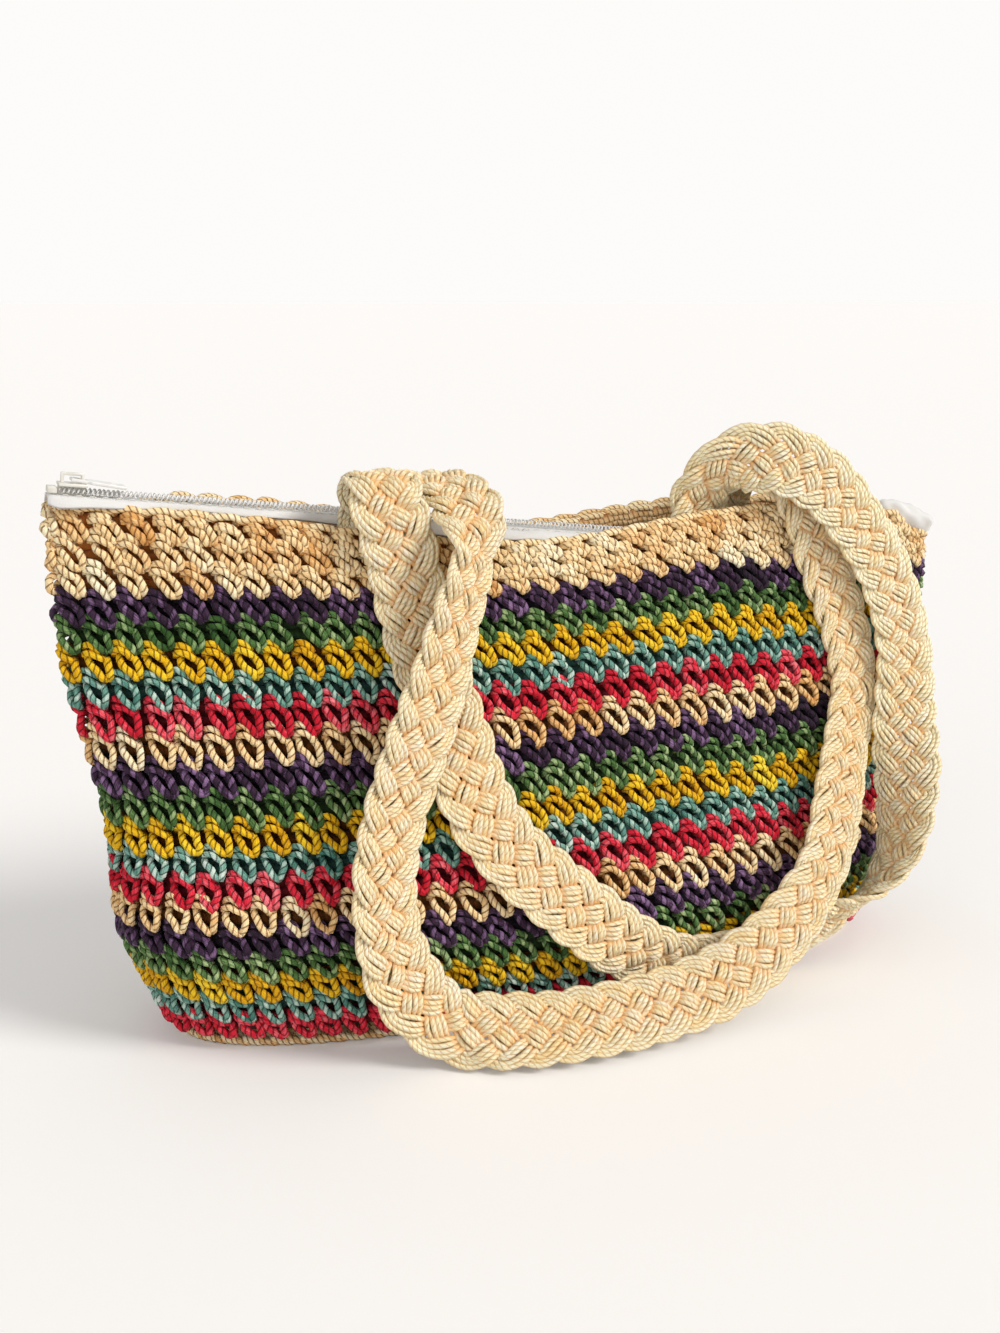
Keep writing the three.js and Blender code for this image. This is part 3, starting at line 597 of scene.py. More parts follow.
def lift_back_edge(points):
    """Raises the edge of the rim behind the zip, where it stands up over the tape."""
    place = points[..., 0] / RIM_HALF_LENGTH
    behind = ease(points[..., 1], BEHIND_START, BEHIND_EASE)
    edge = RIM_HEIGHT - rim_drop(place)
    rise = ease(points[..., 2], edge - BACK_EDGE_DEPTH, BACK_EDGE_DEPTH)
    lifted = points.copy()
    lifted[..., 2] += BACK_EDGE_LIFT * back_edge_reach(place) * behind * rise
    return lifted


def crochet_round(bundle, number, opening, radius, width, rise, painted_strip_shade):
    """Stitches of one round, in front of two strips of twine."""
    v = (number + 0.5) / ROUND_COUNT
    top = number == ROUND_COUNT - 1
    length = np.interp(v, np.linspace(0, 1, TABLE_V + 1), ring_length)
    even = (np.arange(STITCHES) + 0.5 + ROUND_SHIFT * number) / STITCHES
    turn = 2 * TURN * (even - WARP_PLACE)
    u = even - PITCH_WARP / (2 * TURN) * np.sin(turn)
    pitch = length / STITCHES * (1 - PITCH_WARP * np.cos(turn))
    lean = 0.5 + 0.5 * np.cos(TURN * u)
    shift = rng.normal(0, 1, (STITCHES, 2)) * STITCH_SPREAD
    tone = rng.normal(0, 1, STITCHES)
    strands = [(TIGHT_LOOP + (OPEN_LOOP - TIGHT_LOOP) * opening, LOOP_RINGS, radius)]
    scale = [1, TOP_HEAD_SCALE if top else 1, 1]
    strands += [(wrap * scale + [0, 0, rise], HEAD_RINGS, radius * HEAD_GIRTH) for wrap in HEAD_WRAPS]
    for shape, rings, girth in strands:
        knots = np.tile(shape, (STITCHES, 1, 1))
        knots[..., 0] *= (pitch / STITCH_PITCH * width)[:, None]
        knots += rng.normal(0, KNOT_SPREAD, knots.shape) * KNOT_SHARES
        knots[..., :2] += shift[:, None]
        path = spline(knots, rings)
        down = ease(-path[..., 1], 0, LEAN_HEIGHT)
        right_leg = ease(path[..., 0], LEG_PLACE, LEG_PLACE)
        path[..., 0] += lean[:, None] * (LEAN * down - LEG_BOW * right_leg * down * (1 - down))
        if number == 0:
            path[..., 1] *= np.where(path[..., 1] < 0, BOTTOM_LOOP_SCALE, 1)
        points, _ = on_wall(u[:, None] + path[..., 0] / length, v + path[..., 1] / WALL_LENGTH,
                            path[..., 2] + STITCH_DEPTH)
        points[..., 2] = np.maximum(points[..., 2], girth + FLOOR_GAP)
        if top:
            points = lift_back_edge(points)
        shade = np.clip((path[..., 2] + SHADE_DEPTH) / SHADE_RANGE, LEAST_SHADE, 1)
        bundle.add(points, girth, groove=shade[..., None], tone=tone)
    # Two strips of twine behind the stitches, darkened with painted shade
    share = np.arange(2 * STITCHES) / (2 * STITCHES)
    sway = STRIP_SWAY * (-1.0) ** np.arange(2 * STITCHES)
    depth = STRIP_DEPTH + SWAY_DEPTH * sway
    for height in (STRIP_LOW, TOP_STRIP_HIGH if top else STRIP_HIGH):
        run, normal = on_wall(share, v + (height + sway) / WALL_LENGTH, depth)
        bundle.add(run[None], STRIP_HALF_WIDTH, FLAT, painted_strip_shade, normals=normal[None], closed=True)


for number, stripe in enumerate(STRIPES):
    label = "%02d_%s" % (number + 1, stripe)
    bundle = Bundle()
    crochet_round(bundle, number, *STITCHING[stripe])
    place_piece(bundle.piece("crochet_" + label, TWINES[stripe]), ["round_" + label])

rim = Bundle()
for number in range(len(STRIPES), ROUND_COUNT):
    crochet_round(rim, number, *RIM_STITCHING)
edge_share = (np.arange(STITCHES) + 0.5) / STITCHES
for link_mirror in (1, -1):
    knots = np.tile(LINK, (STITCHES, 1, 1)) + rng.normal(0, LINK_SPREAD, (STITCHES, len(LINK), 3))
    path = spline(knots, LINK_RINGS)
    u = edge_share[:, None] + path[..., 0] / ring_length[-1]
    links, _ = on_wall(u, 1 + path[..., 1] / WALL_LENGTH, LINK_DEPTH + link_mirror * path[..., 2])
    shade = np.clip((path[..., 2] + LINK_SHADE_DEPTH) / LINK_SHADE_RANGE, LEAST_LINK_SHADE, 1)
    rim.add(lift_back_edge(links), LINK_RADIUS, groove=shade[..., None],
            tone=rng.normal(LINK_TONE, LINK_TONE_SPREAD, STITCHES))
place_piece(rim.piece("crochet_rim", TWINES["natural"]), ["rim_band"])

# Base: flat rounds of two twisted twines about a line along the bag
BASE_RINGS, BASE_FIRST_RING = 15, 0.6
BASE_POINTS, BASE_LEAST_POINTS = 210, 24
BASE_INSET, BASE_CORE = 4.0, 100.0
BASE_TWINE_RADIUS, BASE_TWIST, BASE_HEIGHT = 1.35, 0.7, 2.1
base = Bundle()
for ring_number in range(BASE_RINGS):
    share = (ring_number + BASE_FIRST_RING) / BASE_RINGS
    turns = np.linspace(0, TURN, max(BASE_LEAST_POINTS, int(BASE_POINTS * share)), endpoint=False)
    flat_ring = wall_point(0.0, turns, BASE_INSET) * np.array([share, share, 0])
    flat_ring[:, 0] += BASE_CORE * (1 - share) * np.cos(turns)
    up = np.tile([0.0, 0.0, 1.0], (len(turns), 1))
    for strand in (0, 1):
        twist = np.arange(len(turns)) * math.pi / 2 + strand * math.pi
        run = flat_ring + unit(flat_ring) * BASE_TWIST * np.sin(twist)[:, None]
        run[:, 2] = BASE_HEIGHT + BASE_TWIST * np.cos(twist)
        base.add(run[None], BASE_TWINE_RADIUS, SLIM, normals=up[None], closed=True, tone=rng.normal())
place_piece(base.piece("crochet_base", TWINES["natural"]), ["base"])

# Plaited straps: the routes of the CAD model
STRAP_SEAT_HEIGHT = 4.0
STRAP_LAYER = 7.0
SEWN = 9.0
FRONT, BACK = -1, 1


def wall_frame(side, place, v):
    """Point on the wall, with the directions along the wall, out of it and level out of it."""
    turn = side * math.acos(signed_power(place, 1 / oval_power(v)))
    step = 0.01

    def at(height, angle):
        return wall_point(height, np.array([angle]))[0]

    along = unit(at(v, turn + step) - at(v, turn - step))
    rise = unit(at(min(1, v + step), turn) - at(max(0, v - step), turn))
    level = unit(np.array([along[1], -along[0], 0.0]))
    return at(v, turn), along, unit(np.cross(along, rise)), level


def lying(place, v, layer=0.0, turned=0.0):
    """Stop of a strap's route that lies on the front, over other layers, turned on edge."""
    point, along, outward, _ = wall_frame(FRONT, place, v)
    angle = math.radians(turned)
    normal = outward * math.cos(angle) - along * math.sin(angle)
    return point + outward * (STRAP_SEAT_HEIGHT + layer * STRAP_LAYER), normal


def free(side, place, v, out, rise, facing):
    """Stop of a strap's route that stands free of the wall, facing out at 0 and up at 90."""
    point, _, _, level = wall_frame(side, place, v)
    angle = math.radians(facing)
    normal = level * math.cos(angle) + np.array([0, 0, math.sin(angle)])
    return point + level * out + np.array([0, 0, rise]), normal


FRONT_ROUTE = [
    free(FRONT, -0.38, 0.87, -SEWN, 0, 180), free(FRONT, -0.38, 0.96, -SEWN, 0, 180),
    free(FRONT, -0.38, 1, -SEWN, 10, 160), free(FRONT, -0.38, 1, -4, 18, 115),
    free(FRONT, -0.38, 1, 4, 18, 65),
    free(FRONT, -0.375, 1, 8, 10, 20), lying(-0.355, 0.97, 0.4), lying(-0.335, 0.84), lying(-0.31, 0.7),
    lying(-0.285, 0.57), lying(-0.262, 0.445, 0.3), lying(-0.2, 0.34, 0.5), lying(-0.07, 0.235, 0.4),
    lying(0.07, 0.145, 0.1), lying(0.22, 0.078), lying(0.4, 0.064), lying(0.58, 0.075, 0.1, -5),
    lying(0.72, 0.125, 0.7, -32), lying(0.79, 0.215, 1.5, -66), lying(0.83, 0.34, 1.8, -105),
    lying(0.84, 0.48, 1.7, -140), lying(0.83, 0.64, 1.5, -165), lying(0.765, 0.81, 1.5, -172),
    lying(0.675, 0.94, 1.5, -175), free(FRONT, 0.57, 1, 13, 9, 180), free(FRONT, 0.47, 1, 9, 16, 180),
    free(FRONT, 0.39, 1, 1, 14, 180),
    free(FRONT, 0.36, 1, -SEWN, 2, 180), free(FRONT, 0.36, 0.87, -SEWN, 0, 180),
]
BACK_ROUTE = [
    free(BACK, -0.34, 0.87, -SEWN, 0, 0), free(BACK, -0.34, 0.97, -SEWN, 0, 0),
    free(BACK, -0.33, 1, -SEWN, 11, 30), free(BACK, -0.285, 1, -18, 18, 70),
    free(FRONT, -0.235, 1, -7, 18, 65),
    free(FRONT, -0.218, 1, 9.5, 10, 25), lying(-0.225, 0.95, 1.6, -42), lying(-0.27, 0.81, 1.7, -36),
    lying(-0.328, 0.67, 1.8, -27), lying(-0.39, 0.55, 1.6, -22), lying(-0.45, 0.43, 1.1, -26),
    lying(-0.487, 0.3, 0.9, -26), lying(-0.475, 0.18, 0.7, -20), free(FRONT, -0.405, 0, 20, 9.5, 12),
    free(FRONT, -0.28, 0, 26, 7, 36), free(FRONT, -0.1, 0, 29, 6.5, 46), free(FRONT, 0.1, 0, 29, 7.5, 46),
    free(FRONT, 0.27, 0, 28, 11.5, 36), free(FRONT, 0.42, 0, 27, 22, 22), lying(0.54, 0.23, 1.4),
    lying(0.64, 0.345, 0.9), lying(0.715, 0.46, 0.2), lying(0.738, 0.58), lying(0.69, 0.72),
    lying(0.63, 0.86),
    free(FRONT, 0.59, 1, 4, -3, 10), free(FRONT, 0.565, 1, -2, 4, 60), free(BACK, 0.52, 1, -18, 6, 95),
    free(BACK, 0.47, 1, -SEWN, 1, 10),
    free(BACK, 0.46, 0.87, -SEWN, 0, 0),
]
PLAIT_STEP, PLAIT_REACH, PLAIT_HEIGHT = 5.7, 10.4, 2.0
PLAIT_ROUNDING = 0.95
PLAIT_BUNDLES = 5
PLAIT_STATIONS = 1400
# Height of a bundle at its crossings, over or under, and between them at its turns
CROSSINGS = np.array([0.0, 1, -1, 1, -1, 0, 1, -1, 1, -1])
# Painted shade of a bundle: darker where it dives under at a crossing, pale again at its turns at the
# edges
CROSSING_SHADE, CROSSING_CONTRAST = 0.05, 1.25
EDGE_TURN, EDGE_TURN_RANGE = 0.72, 0.2
BUNDLE_TWINES, BUNDLE_SPACING = 4, 1.92
BUNDLE_CROWN, BUNDLE_PINCH = 0.09, 0.26
STRAP_TWINE_RADIUS, STRAP_RING_STEP, STRAP_FLOOR_GAP = 0.97, 1.6, 0.2
# Spread of a twine's place in its bundle, sideways and up, at points along the strap
TWINE_DRIFT, TWINE_LIFT, WANDER_POINTS = 0.16, 0.18, 60
# Painted shade at the corners of a twine, darker where it meets the next one
TWINE_SIDES = np.array([1.0, 0.62, 0.95, 0.95, 0.62])


def plait_strap(name, route, node_name):
    """Flat plait along a route, whose bundles of twine go over and under each other."""
    middle = Curve([point for point, _ in route])
    facing = Curve([normal for _, normal in route])
    length = middle.lengths[-1]
    t = middle.even(np.linspace(0, 1, PLAIT_STATIONS))
    centre = middle.at(t)
    tangent = unit(np.gradient(centre, axis=0))
    normal = facing.at(t)
    normal = unit(normal - (normal * tangent).sum(1, keepdims=True) * tangent)
    across = np.cross(tangent, normal)
    bundle = Bundle()
    s = np.arange(0, length, STRAP_RING_STEP)

    def sample(array, place):
        share = np.clip(place / length, 0, 1) * (PLAIT_STATIONS - 1)
        i = np.minimum(share.astype(int), PLAIT_STATIONS - 2)
        w = (share - i)[:, None]
        return array[i] * (1 - w) + array[i + 1] * w

    def wander(spread):
        return np.interp(s, np.linspace(0, length, WANDER_POINTS), rng.normal(0, spread, WANDER_POINTS))

    for strand in range(PLAIT_BUNDLES):
        phase = s / PLAIT_STEP + 2 * strand
        swing = np.cos(math.pi * phase / PLAIT_BUNDLES)
        side = PLAIT_REACH * np.arcsin(PLAIT_ROUNDING * swing) / math.asin(PLAIT_ROUNDING)
        cell = np.floor(phase).astype(int)
        part = (1 - np.cos(math.pi * (phase - cell))) / 2
        before, after = (CROSSINGS[(cell + k) % len(CROSSINGS)] for k in (0, 1))
        height = PLAIT_HEIGHT * (before * (1 - part) + after * part)
        level = np.abs(height) / PLAIT_HEIGHT
        slope = np.gradient(side, s)
        stretch = np.sqrt(1 + slope ** 2)
        turning = ease(np.abs(swing), EDGE_TURN, EDGE_TURN_RANGE)
        shade = np.clip(CROSSING_SHADE + CROSSING_CONTRAST * np.maximum(level, turning), 0, 1)
        for twine in range(BUNDLE_TWINES):
            offset = (twine - (BUNDLE_TWINES - 1) / 2) * BUNDLE_SPACING
            drift, lift = wander(TWINE_DRIFT), wander(TWINE_LIFT)
            offset = offset * (1 - BUNDLE_PINCH * (1 - level)) + drift
            place = s - offset * slope / stretch
            reach = side + offset / stretch
            crown = height + lift - BUNDLE_CROWN * offset ** 2 * height / PLAIT_HEIGHT
            outward = sample(normal, place)
            path = sample(centre, place) + sample(across, place) * reach[:, None]
            path += outward * crown[:, None]
            path[:, 2] = np.maximum(path[:, 2], STRAP_TWINE_RADIUS + STRAP_FLOOR_GAP)
            bundle.add(path[None], STRAP_TWINE_RADIUS, groove=shade[None, :, None] * TWINE_SIDES,
                       tone=rng.normal(0, 1), normals=outward[None])
    place_piece(bundle.piece(name, STRAP_TWINE), [node_name])


plait_strap("plaited_strap_front", FRONT_ROUTE, "strap_front")
plait_strap("plaited_strap_back", BACK_ROUTE, "strap_back")

# Lining: a cotton bag inside the wall, with its hem under the rim
LINING_INSET, LINING_THICKNESS = 6.15, 0.8
LINING_FOOT, LINING_TOP, LINING_HEM = 0.03, 0.82, 0.004
LINING_FLOOR_GAP, LINING_FLOOR_REACH = 0.4, 0.1
LINING_FLOOR = BASE_THICKNESS + LINING_FLOOR_GAP
LINING_CREASE, LINING_FLOOR_WAVE = 1.1, 0.25
LINING_CORNERS, LINING_RINGS, LINING_FLOOR_RINGS = 150, 20, 6
lining_turns = np.linspace(0, TURN, LINING_CORNERS, endpoint=False)


def lining_ring(v, inset):
    """Ring of the lining at a height, with soft creases that lean inwards."""
    crease = (1 + np.sin(9 * lining_turns + 5 * v)) * (1 + np.sin(22 * lining_turns - 9 * v + 1.3)) / 4
    depth = LINING_CREASE * crease * np.sin(math.pi * min(1, v / LINING_TOP))
    ring = wall_point(v, lining_turns, inset + depth)
    ring[:, 2] = np.maximum(ring[:, 2], LINING_FLOOR)
    return ring


def lining_floor(share, height):
    """Ring of the lining's floor at a share of its size, slightly wavy."""
    ring = wall_point(0.0, lining_turns, LINING_INSET) * np.array([share, share, 0])
    ring[:, 0] += BASE_CORE * (1 - share) * np.cos(lining_turns)
    wave = 1 + np.sin(ring[:, 0] / 9) * np.cos(ring[:, 1] / 7)
    ring[:, 2] = height + LINING_FLOOR_WAVE * wave * (1 - share)
    return ring


heights = np.linspace(LINING_FOOT, LINING_TOP, LINING_RINGS)
floor_shares = np.linspace(0.12, 0.97, LINING_FLOOR_RINGS)
inner = LINING_INSET + LINING_THICKNESS
rings = [lining_floor(share, LINING_FLOOR + LINING_THICKNESS) for share in floor_shares]
rings += [lining_ring(v, inner) + [0, 0, LINING_THICKNESS * (v < LINING_FLOOR_REACH)] for v in heights]
rings += [lining_ring(LINING_TOP + LINING_HEM, (inner + LINING_INSET) / 2)]
rings += [lining_ring(v, LINING_INSET) for v in heights[::-1]]
rings += [lining_floor(share, LINING_FLOOR) for share in floor_shares[::-1]]
lining = loft_piece("cotton_lining", rings, COTTON)
place_piece(lining, ["lining"])

# Zip: the line and plane of the CAD model
ZIP_START, ZIP_START_HEIGHT, ZIP_END, ZIP_SLOPE = -173.0, 193.0, 122.0, 0.122
ZIP_LENGTH = math.hypot(1, ZIP_SLOPE) * (ZIP_END - ZIP_START)
ZIP_COS = 1 / math.hypot(1, ZIP_SLOPE)
ZIP_SIN = ZIP_SLOPE * ZIP_COS
# Tapes: their reach from the zip's line, cut back beside the straps and eased over some steps
TAPE_INNER, TAPE_LEAST_WIDTH = 1.0, 4.5
TAPE_END_WIDTH, TAPE_END = 6.0, -132.0
TAPE_CORNER, TAPE_CORNER_LENGTH = 1.5, 6.0
TAPE_STEP, TAPE_EASE = 0.5, 14
STRAP_PLACES = {FRONT: (-0.38, 0.36), BACK: (-0.34, 0.46)}
STRAP_ROOM, STRAP_DEPTH = 25.25, 13.0
TAPE_TOP, TAPE_UNDER = 0.85, 0.15
TAPE_RINGS, TAPE_POINTS = 181, 10
# Outer part of a tape, which ripples and falls to the rim's edge or sags
TAPE_RIPPLE, TAPE_FREE, TAPE_FREE_EASE = 0.28, 5.0, 4.0
TAPE_FLAT, TAPE_HEM = 4.1, 4.0
TAPE_SAG, TAPE_SAG_EASE = 2.2, 3.0
EDGE_TOP, EDGE_TUCK, EDGE_FALL = 1.9, 1.5, 5.0
# Sewing thread: its row on a tape and the rise of one stitch
SEAM_START, SEAM_END, SEAM_PITCH, SEAM_LENGTH = 4.0, 6.0, 4.2, 3.2
SEAM_PLACE, SEAM_MARGIN, SEAM_RADIUS = 0.62, 0.7, 0.26
SEAM_RISE = np.array([-0.4, 0.3, 0.42, 0.3, -0.4])
# Coils: wound wire between the stops
STOP_LENGTH, TOUCH = 3.0, 0.3
COIL_PITCH, COIL_WIRE, COIL_RINGS = 1.5, 0.36, 8
COIL_PLACE, COIL_HEIGHT, COIL_RADIUS = 1.6, 2.4, 0.72


def on_zip(x, y, z):
    """Points at distances along the zip's line, across it and out of its plane."""
    x, y, z = np.broadcast_arrays(x, y, z)
    return np.stack([ZIP_START + x * ZIP_COS + z * ZIP_SIN, y,
                     ZIP_START_HEIGHT - x * ZIP_SIN + z * ZIP_COS], -1)


def tape_width(x, side):
    """Half width of a tape, cut back beside the strap ends, with eased corners."""
    fine = np.arange(ZIP_START, ZIP_END + TAPE_STEP, TAPE_STEP)
    inside = (RIM_HALF_DEPTH - WALL_THICKNESS - CLOTH_CLEARANCE) * np.maximum(
        0, 1 - (fine / (RIM_HALF_LENGTH - tip_inset(1, WALL_THICKNESS))) ** 2)
    beside = RIM_HALF_DEPTH * (1 - (fine / RIM_HALF_LENGTH) ** 2) - STRAP_DEPTH
    for place in STRAP_PLACES[side]:
        near = np.abs(fine - place * RIM_HALF_LENGTH) < STRAP_ROOM
        inside = np.where(near, np.minimum(inside, beside), inside)
    width = np.maximum(np.where(fine < TAPE_END, TAPE_END_WIDTH, TAPE_LEAST_WIDTH), inside)
    span = 2 * TAPE_EASE + 1
    padded = np.pad(width, 2 * TAPE_EASE, mode="edge")
    least = np.min([padded[k:len(padded) - 2 * TAPE_EASE + k] for k in range(span)], 0)
    return np.interp(x, fine, np.convolve(least, np.ones(span) / span, mode="valid"))


def tape_rings(side):
    """Rings of the closed skin of one tape."""
    along = np.linspace(0, ZIP_LENGTH, TAPE_RINGS)
    x = ZIP_START + along * ZIP_COS
    width = tape_width(x, side) - TAPE_CORNER * np.clip(1 - along / TAPE_CORNER_LENGTH, 0, 1) ** 2
    reach = TAPE_INNER + (width[:, None] - TAPE_INNER) * np.linspace(0, 1, TAPE_POINTS)
    start = np.maximum(TAPE_FLAT, width - TAPE_HEM)
    fall = ease(reach, start[:, None], (width - start)[:, None])
    place = x / RIM_HALF_LENGTH
    edge_height = RIM_HEIGHT - rim_drop(place) + row_shift(place, 1.0) + EDGE_TOP
    if side == BACK:
        edge_height += BACK_EDGE_LIFT * back_edge_reach(place)
    drop = np.clip(on_zip(along, 0, 0)[:, 2] - edge_height + EDGE_TUCK, 0, EDGE_FALL)
    drop = np.maximum(drop, TAPE_SAG * ease(width, TAPE_LEAST_WIDTH, TAPE_SAG_EASE))
    slack = ease(reach, TAPE_FREE, TAPE_FREE_EASE)
    ripple = np.sin(along[:, None] / 5.1 + 1.7 * side) + 0.7 * np.sin(along[:, None] / 2.3 + reach / 3)
    lift = TAPE_RIPPLE * slack * ripple - drop[:, None] * fall ** 2
    top = on_zip(along[:, None], side * reach, TAPE_TOP + lift)
    under = on_zip(along[:, None], side * reach, TAPE_UNDER + lift)
    return np.concatenate([top, under[:, ::-1]], 1)


def seam_paths(side):
    """Paths of the stitches of sewing thread along one tape."""
    starts = np.arange(SEAM_START, ZIP_LENGTH - SEAM_END, SEAM_PITCH)
    step = starts[:, None] + np.linspace(0, SEAM_LENGTH, len(SEAM_RISE))
    row = tape_width(ZIP_START + step * ZIP_COS, side) * SEAM_PLACE
    row = np.maximum(row, TAPE_LEAST_WIDTH - SEAM_MARGIN)
    return on_zip(step, side * row, TAPE_TOP + SEAM_RISE)


def coil_path(side):
    """Path of the wire of one coil, half a turn on from the other coil."""
    first = STOP_LENGTH + TOUCH + COIL_WIRE
    last = ZIP_LENGTH - STOP_LENGTH - TOUCH - COIL_WIRE
    turns = int((last - first) / COIL_PITCH)
    turn = np.linspace(0, TURN * turns, turns * COIL_RINGS + 1) + (0 if side == FRONT else math.pi)
    across = side * (COIL_PLACE + COIL_RADIUS * np.cos(turn))
    return on_zip(np.linspace(first, last, len(turn)), across, COIL_HEIGHT + COIL_RADIUS * np.sin(turn))


for side, side_name in ((FRONT, "front"), (BACK, "back")):
    tape = loft_piece("zip_tape_cloth_" + side_name, tape_rings(side), TAPE_CLOTH)
    place_piece(tape, ["zip_tape_" + side_name])
    sewing = Bundle()
    sewing.add(seam_paths(side), SEAM_RADIUS, SLIM)
    thread = sewing.piece("zip_thread_" + side_name, THREAD)
    place_piece(thread)
    wire = Bundle()
    wire.add(coil_path(side)[None], COIL_WIRE, SLIM)
    place_piece(wire.piece("zip_coil_wire_" + side_name, COIL), ["zip_coil_" + side_name])

# Slider, pull tab and stops: limits of flat, sharp and smooth edges, widths of rounding in metres
FLAT_ANGLE, SHARP_ANGLE, SMOOTH_ANGLE = math.radians(1), math.radians(35), math.radians(40)
BEVEL, SLIDER_BEVEL = 0.0003, 0.00028


def bevelled(name, node_name, body, width, material):
    """Copy of a CAD solid with its edges rounded."""
    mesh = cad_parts[node_name].data.copy()
    mesh.name = name
    solid = bmesh.new()
    solid.from_mesh(mesh)
    bmesh.ops.remove_doubles(solid, verts=solid.verts, dist=1e-6)
    bmesh.ops.dissolve_limit(solid, angle_limit=FLAT_ANGLE, verts=solid.verts, edges=solid.edges)
    sharp = [edge for edge in solid.edges
             if len(edge.link_faces) == 2 and edge.calc_face_angle() > SHARP_ANGLE]
    bmesh.ops.bevel(solid, geom=sharp, offset=width, segments=3, profile=0.5, affect="EDGES",
                    clamp_overlap=True)
    bmesh.ops.triangulate(solid, faces=solid.faces, ngon_method="EAR_CLIP")
    solid.to_mesh(mesh)
    solid.free()
    piece = smooth_piece(name, mesh, material)
    mesh.set_sharp_from_angle(angle=SMOOTH_ANGLE)
    place_piece(piece, [node_name], body)


bevelled("slider_body", "zip_slider", "slider", SLIDER_BEVEL, DARKER_ENAMEL)
bevelled("slider_pull", "pull_tab", "tab", BEVEL, ENAMEL)
bevelled("stop_top_front", "top_stop_front", "bag", BEVEL, DARKER_ENAMEL)
bevelled("stop_top_back", "top_stop_back", "bag", BEVEL, DARKER_ENAMEL)
bevelled("stop_bottom", "bottom_stop", "bag", BEVEL, DARKER_ENAMEL)

# End tab: the folded end of the tape, puffed up and puckered, between the tips of the rim
TIP_REACH = RIM_HALF_LENGTH - tip_inset(1, ROUND_RELIEF)
END_LENGTH, END_HALF_WIDTH, END_RISE = 28.0, 5.6, 10.5
END_OVER, END_SINK = 3.0, 5.4
END_FOOT, END_WIDENING = 0.45, 1.3
END_POWER, END_ROUNDING, END_LEAST = 0.9, 5, 0.02
END_RINGS, END_CORNERS = 26, 28
FOLD_DEPTH, FOLD_WIDTH = 0.5, 0.7
tab_place = np.linspace(0, 1, END_RINGS)[:, None]
tab_turn = np.linspace(0, TURN, END_CORNERS, endpoint=False)[None]
tab_x = TIP_REACH + END_OVER - END_LENGTH * (1 - tab_place)
tab_foot = RIM_HEIGHT - rim_drop(np.minimum(tab_x / TIP_REACH, 1)) - END_SINK
puff = np.sqrt(np.clip(1 - np.abs(2 * tab_place - 1) ** END_ROUNDING, END_LEAST, 1))
pucker = (1 + 0.08 * np.sin(3 * tab_turn + 6 * tab_place) + 0.07 * np.sin(5 * tab_turn - 14 * tab_place)
          + 0.06 * np.sin(21 * tab_place + 1))
tab_y = END_HALF_WIDTH * signed_power(np.cos(tab_turn), END_POWER) * puff * pucker
tab_z = END_RISE / 2 * (1 + signed_power(np.sin(tab_turn), END_POWER) * puff * pucker)
tab_y *= END_FOOT + (1 - END_FOOT) * np.clip(END_WIDENING * tab_z / END_RISE, 0, 1)
fold = FOLD_DEPTH * np.exp(-((tab_y / FOLD_WIDTH) ** 2)) * (tab_z > END_RISE / 2)
tab_rings = np.stack([np.broadcast_to(tab_x, tab_y.shape), tab_y, tab_foot + tab_z - fold], -1)
end_tab = loft_piece("zip_tape_end", tab_rings, TAPE_CLOTH)
place_piece(end_tab, ["zip_end_tab"])

# Stage: the camera fitted to the photo, two soft suns, and a pale floor and a white studio that
# are brighter to the camera than as light
CAMERA_PLACE = Vector((-0.22181, -0.49976, 0.25553))
CAMERA_YAW = math.atan2(0.37061, 0.89720)
CAMERA_PITCH = math.asin(0.24017)
FLOOR, FLOOR_GLOW = 60.0, 0.13
STUDIO_LIGHT, STUDIO_WHITE = 0.51, 0.985


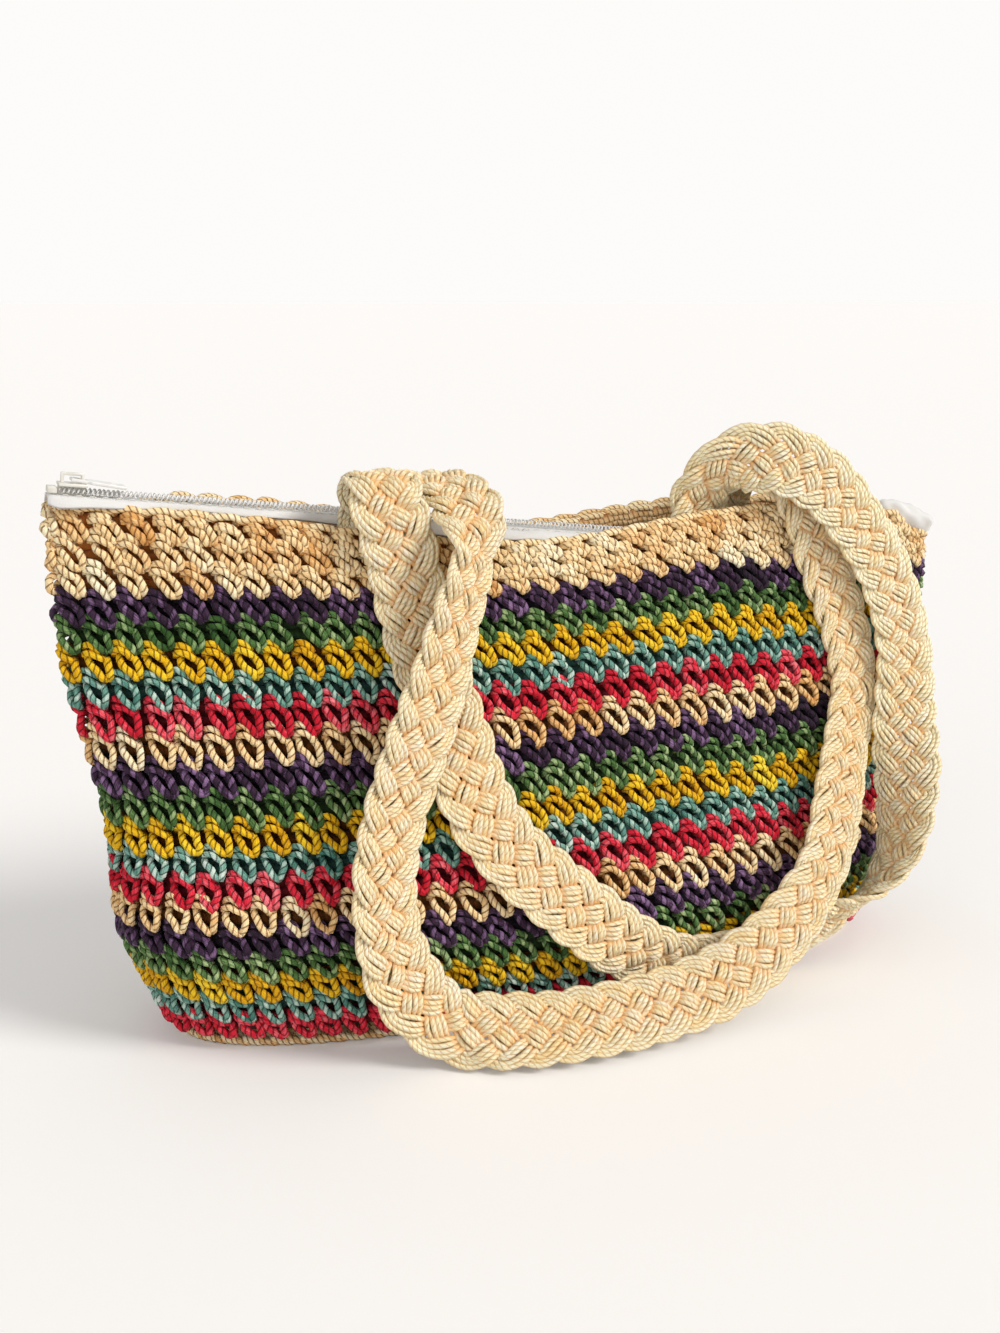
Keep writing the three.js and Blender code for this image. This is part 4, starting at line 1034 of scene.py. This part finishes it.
def add_sun(name, towards, strength, spread, colour):
    lamp = bpy.data.lights.new(name, "SUN")
    lamp.energy = strength
    lamp.angle = math.radians(spread)
    lamp.color = colour
    holder = add_object(name, lamp)
    holder.rotation_euler = (-Vector(towards)).to_track_quat("-Z", "Y").to_euler()


floor_mesh = bpy.data.meshes.new("floor")
floor_mesh.from_pydata([(-FLOOR, -FLOOR, 0), (FLOOR, -FLOOR, 0), (FLOOR, FLOOR, 0), (-FLOOR, FLOOR, 0)],
                       [], [(0, 1, 2, 3)])
floor = add_object("floor", floor_mesh)
floor_material, floor_tree, floor_shader = new_material("pale_floor", {
    "Base Color": (0.86, 0.85, 0.84, 1), "Roughness": 0.8, "Emission Color": (1.0, 0.99, 0.98, 1)})
floor_view = node(floor_tree, "ShaderNodeLightPath").outputs["Is Camera Ray"]
floor_glow = math_node(floor_tree, "MULTIPLY", floor_view, FLOOR_GLOW)
floor_tree.links.new(floor_glow, floor_shader.inputs["Emission Strength"])
floor_mesh.materials.append(floor_material)

world = bpy.data.worlds.new("studio")
bpy.context.scene.world = world
world.use_nodes = True
world_tree = world.node_tree
background = world_tree.nodes["Background"]
path = world_tree.nodes.new("ShaderNodeLightPath")
seen = math_node(world_tree, "MAXIMUM", path.outputs["Is Camera Ray"], path.outputs["Is Glossy Ray"])
seen = math_node(world_tree, "MAXIMUM", seen, path.outputs["Is Transmission Ray"])
strength = math_node(world_tree, "MULTIPLY_ADD", seen, STUDIO_WHITE - STUDIO_LIGHT, STUDIO_LIGHT)
world_tree.links.new(strength, background.inputs["Strength"])
background.inputs["Color"].default_value = (1.0, 0.985, 0.97, 1)

add_sun("key", (0.62, -0.62, 0.62), 2.1, 22.0, (1.0, 0.975, 0.94))
add_sun("fill", (-0.65, -0.7, 0.45), 0.45, 40.0, (1.0, 0.99, 0.98))

camera_data = bpy.data.cameras.new("camera")
camera_data.sensor_fit = "HORIZONTAL"
camera_data.sensor_width = 36.0
camera_data.lens = 54.0
camera_data.clip_start = 0.01
camera = add_object("camera", camera_data)
camera.location = CAMERA_PLACE
camera.rotation_euler = (math.pi / 2 - CAMERA_PITCH, 0, -CAMERA_YAW)
bpy.context.scene.camera = camera
bpy.context.scene.view_settings.view_transform = "Standard"
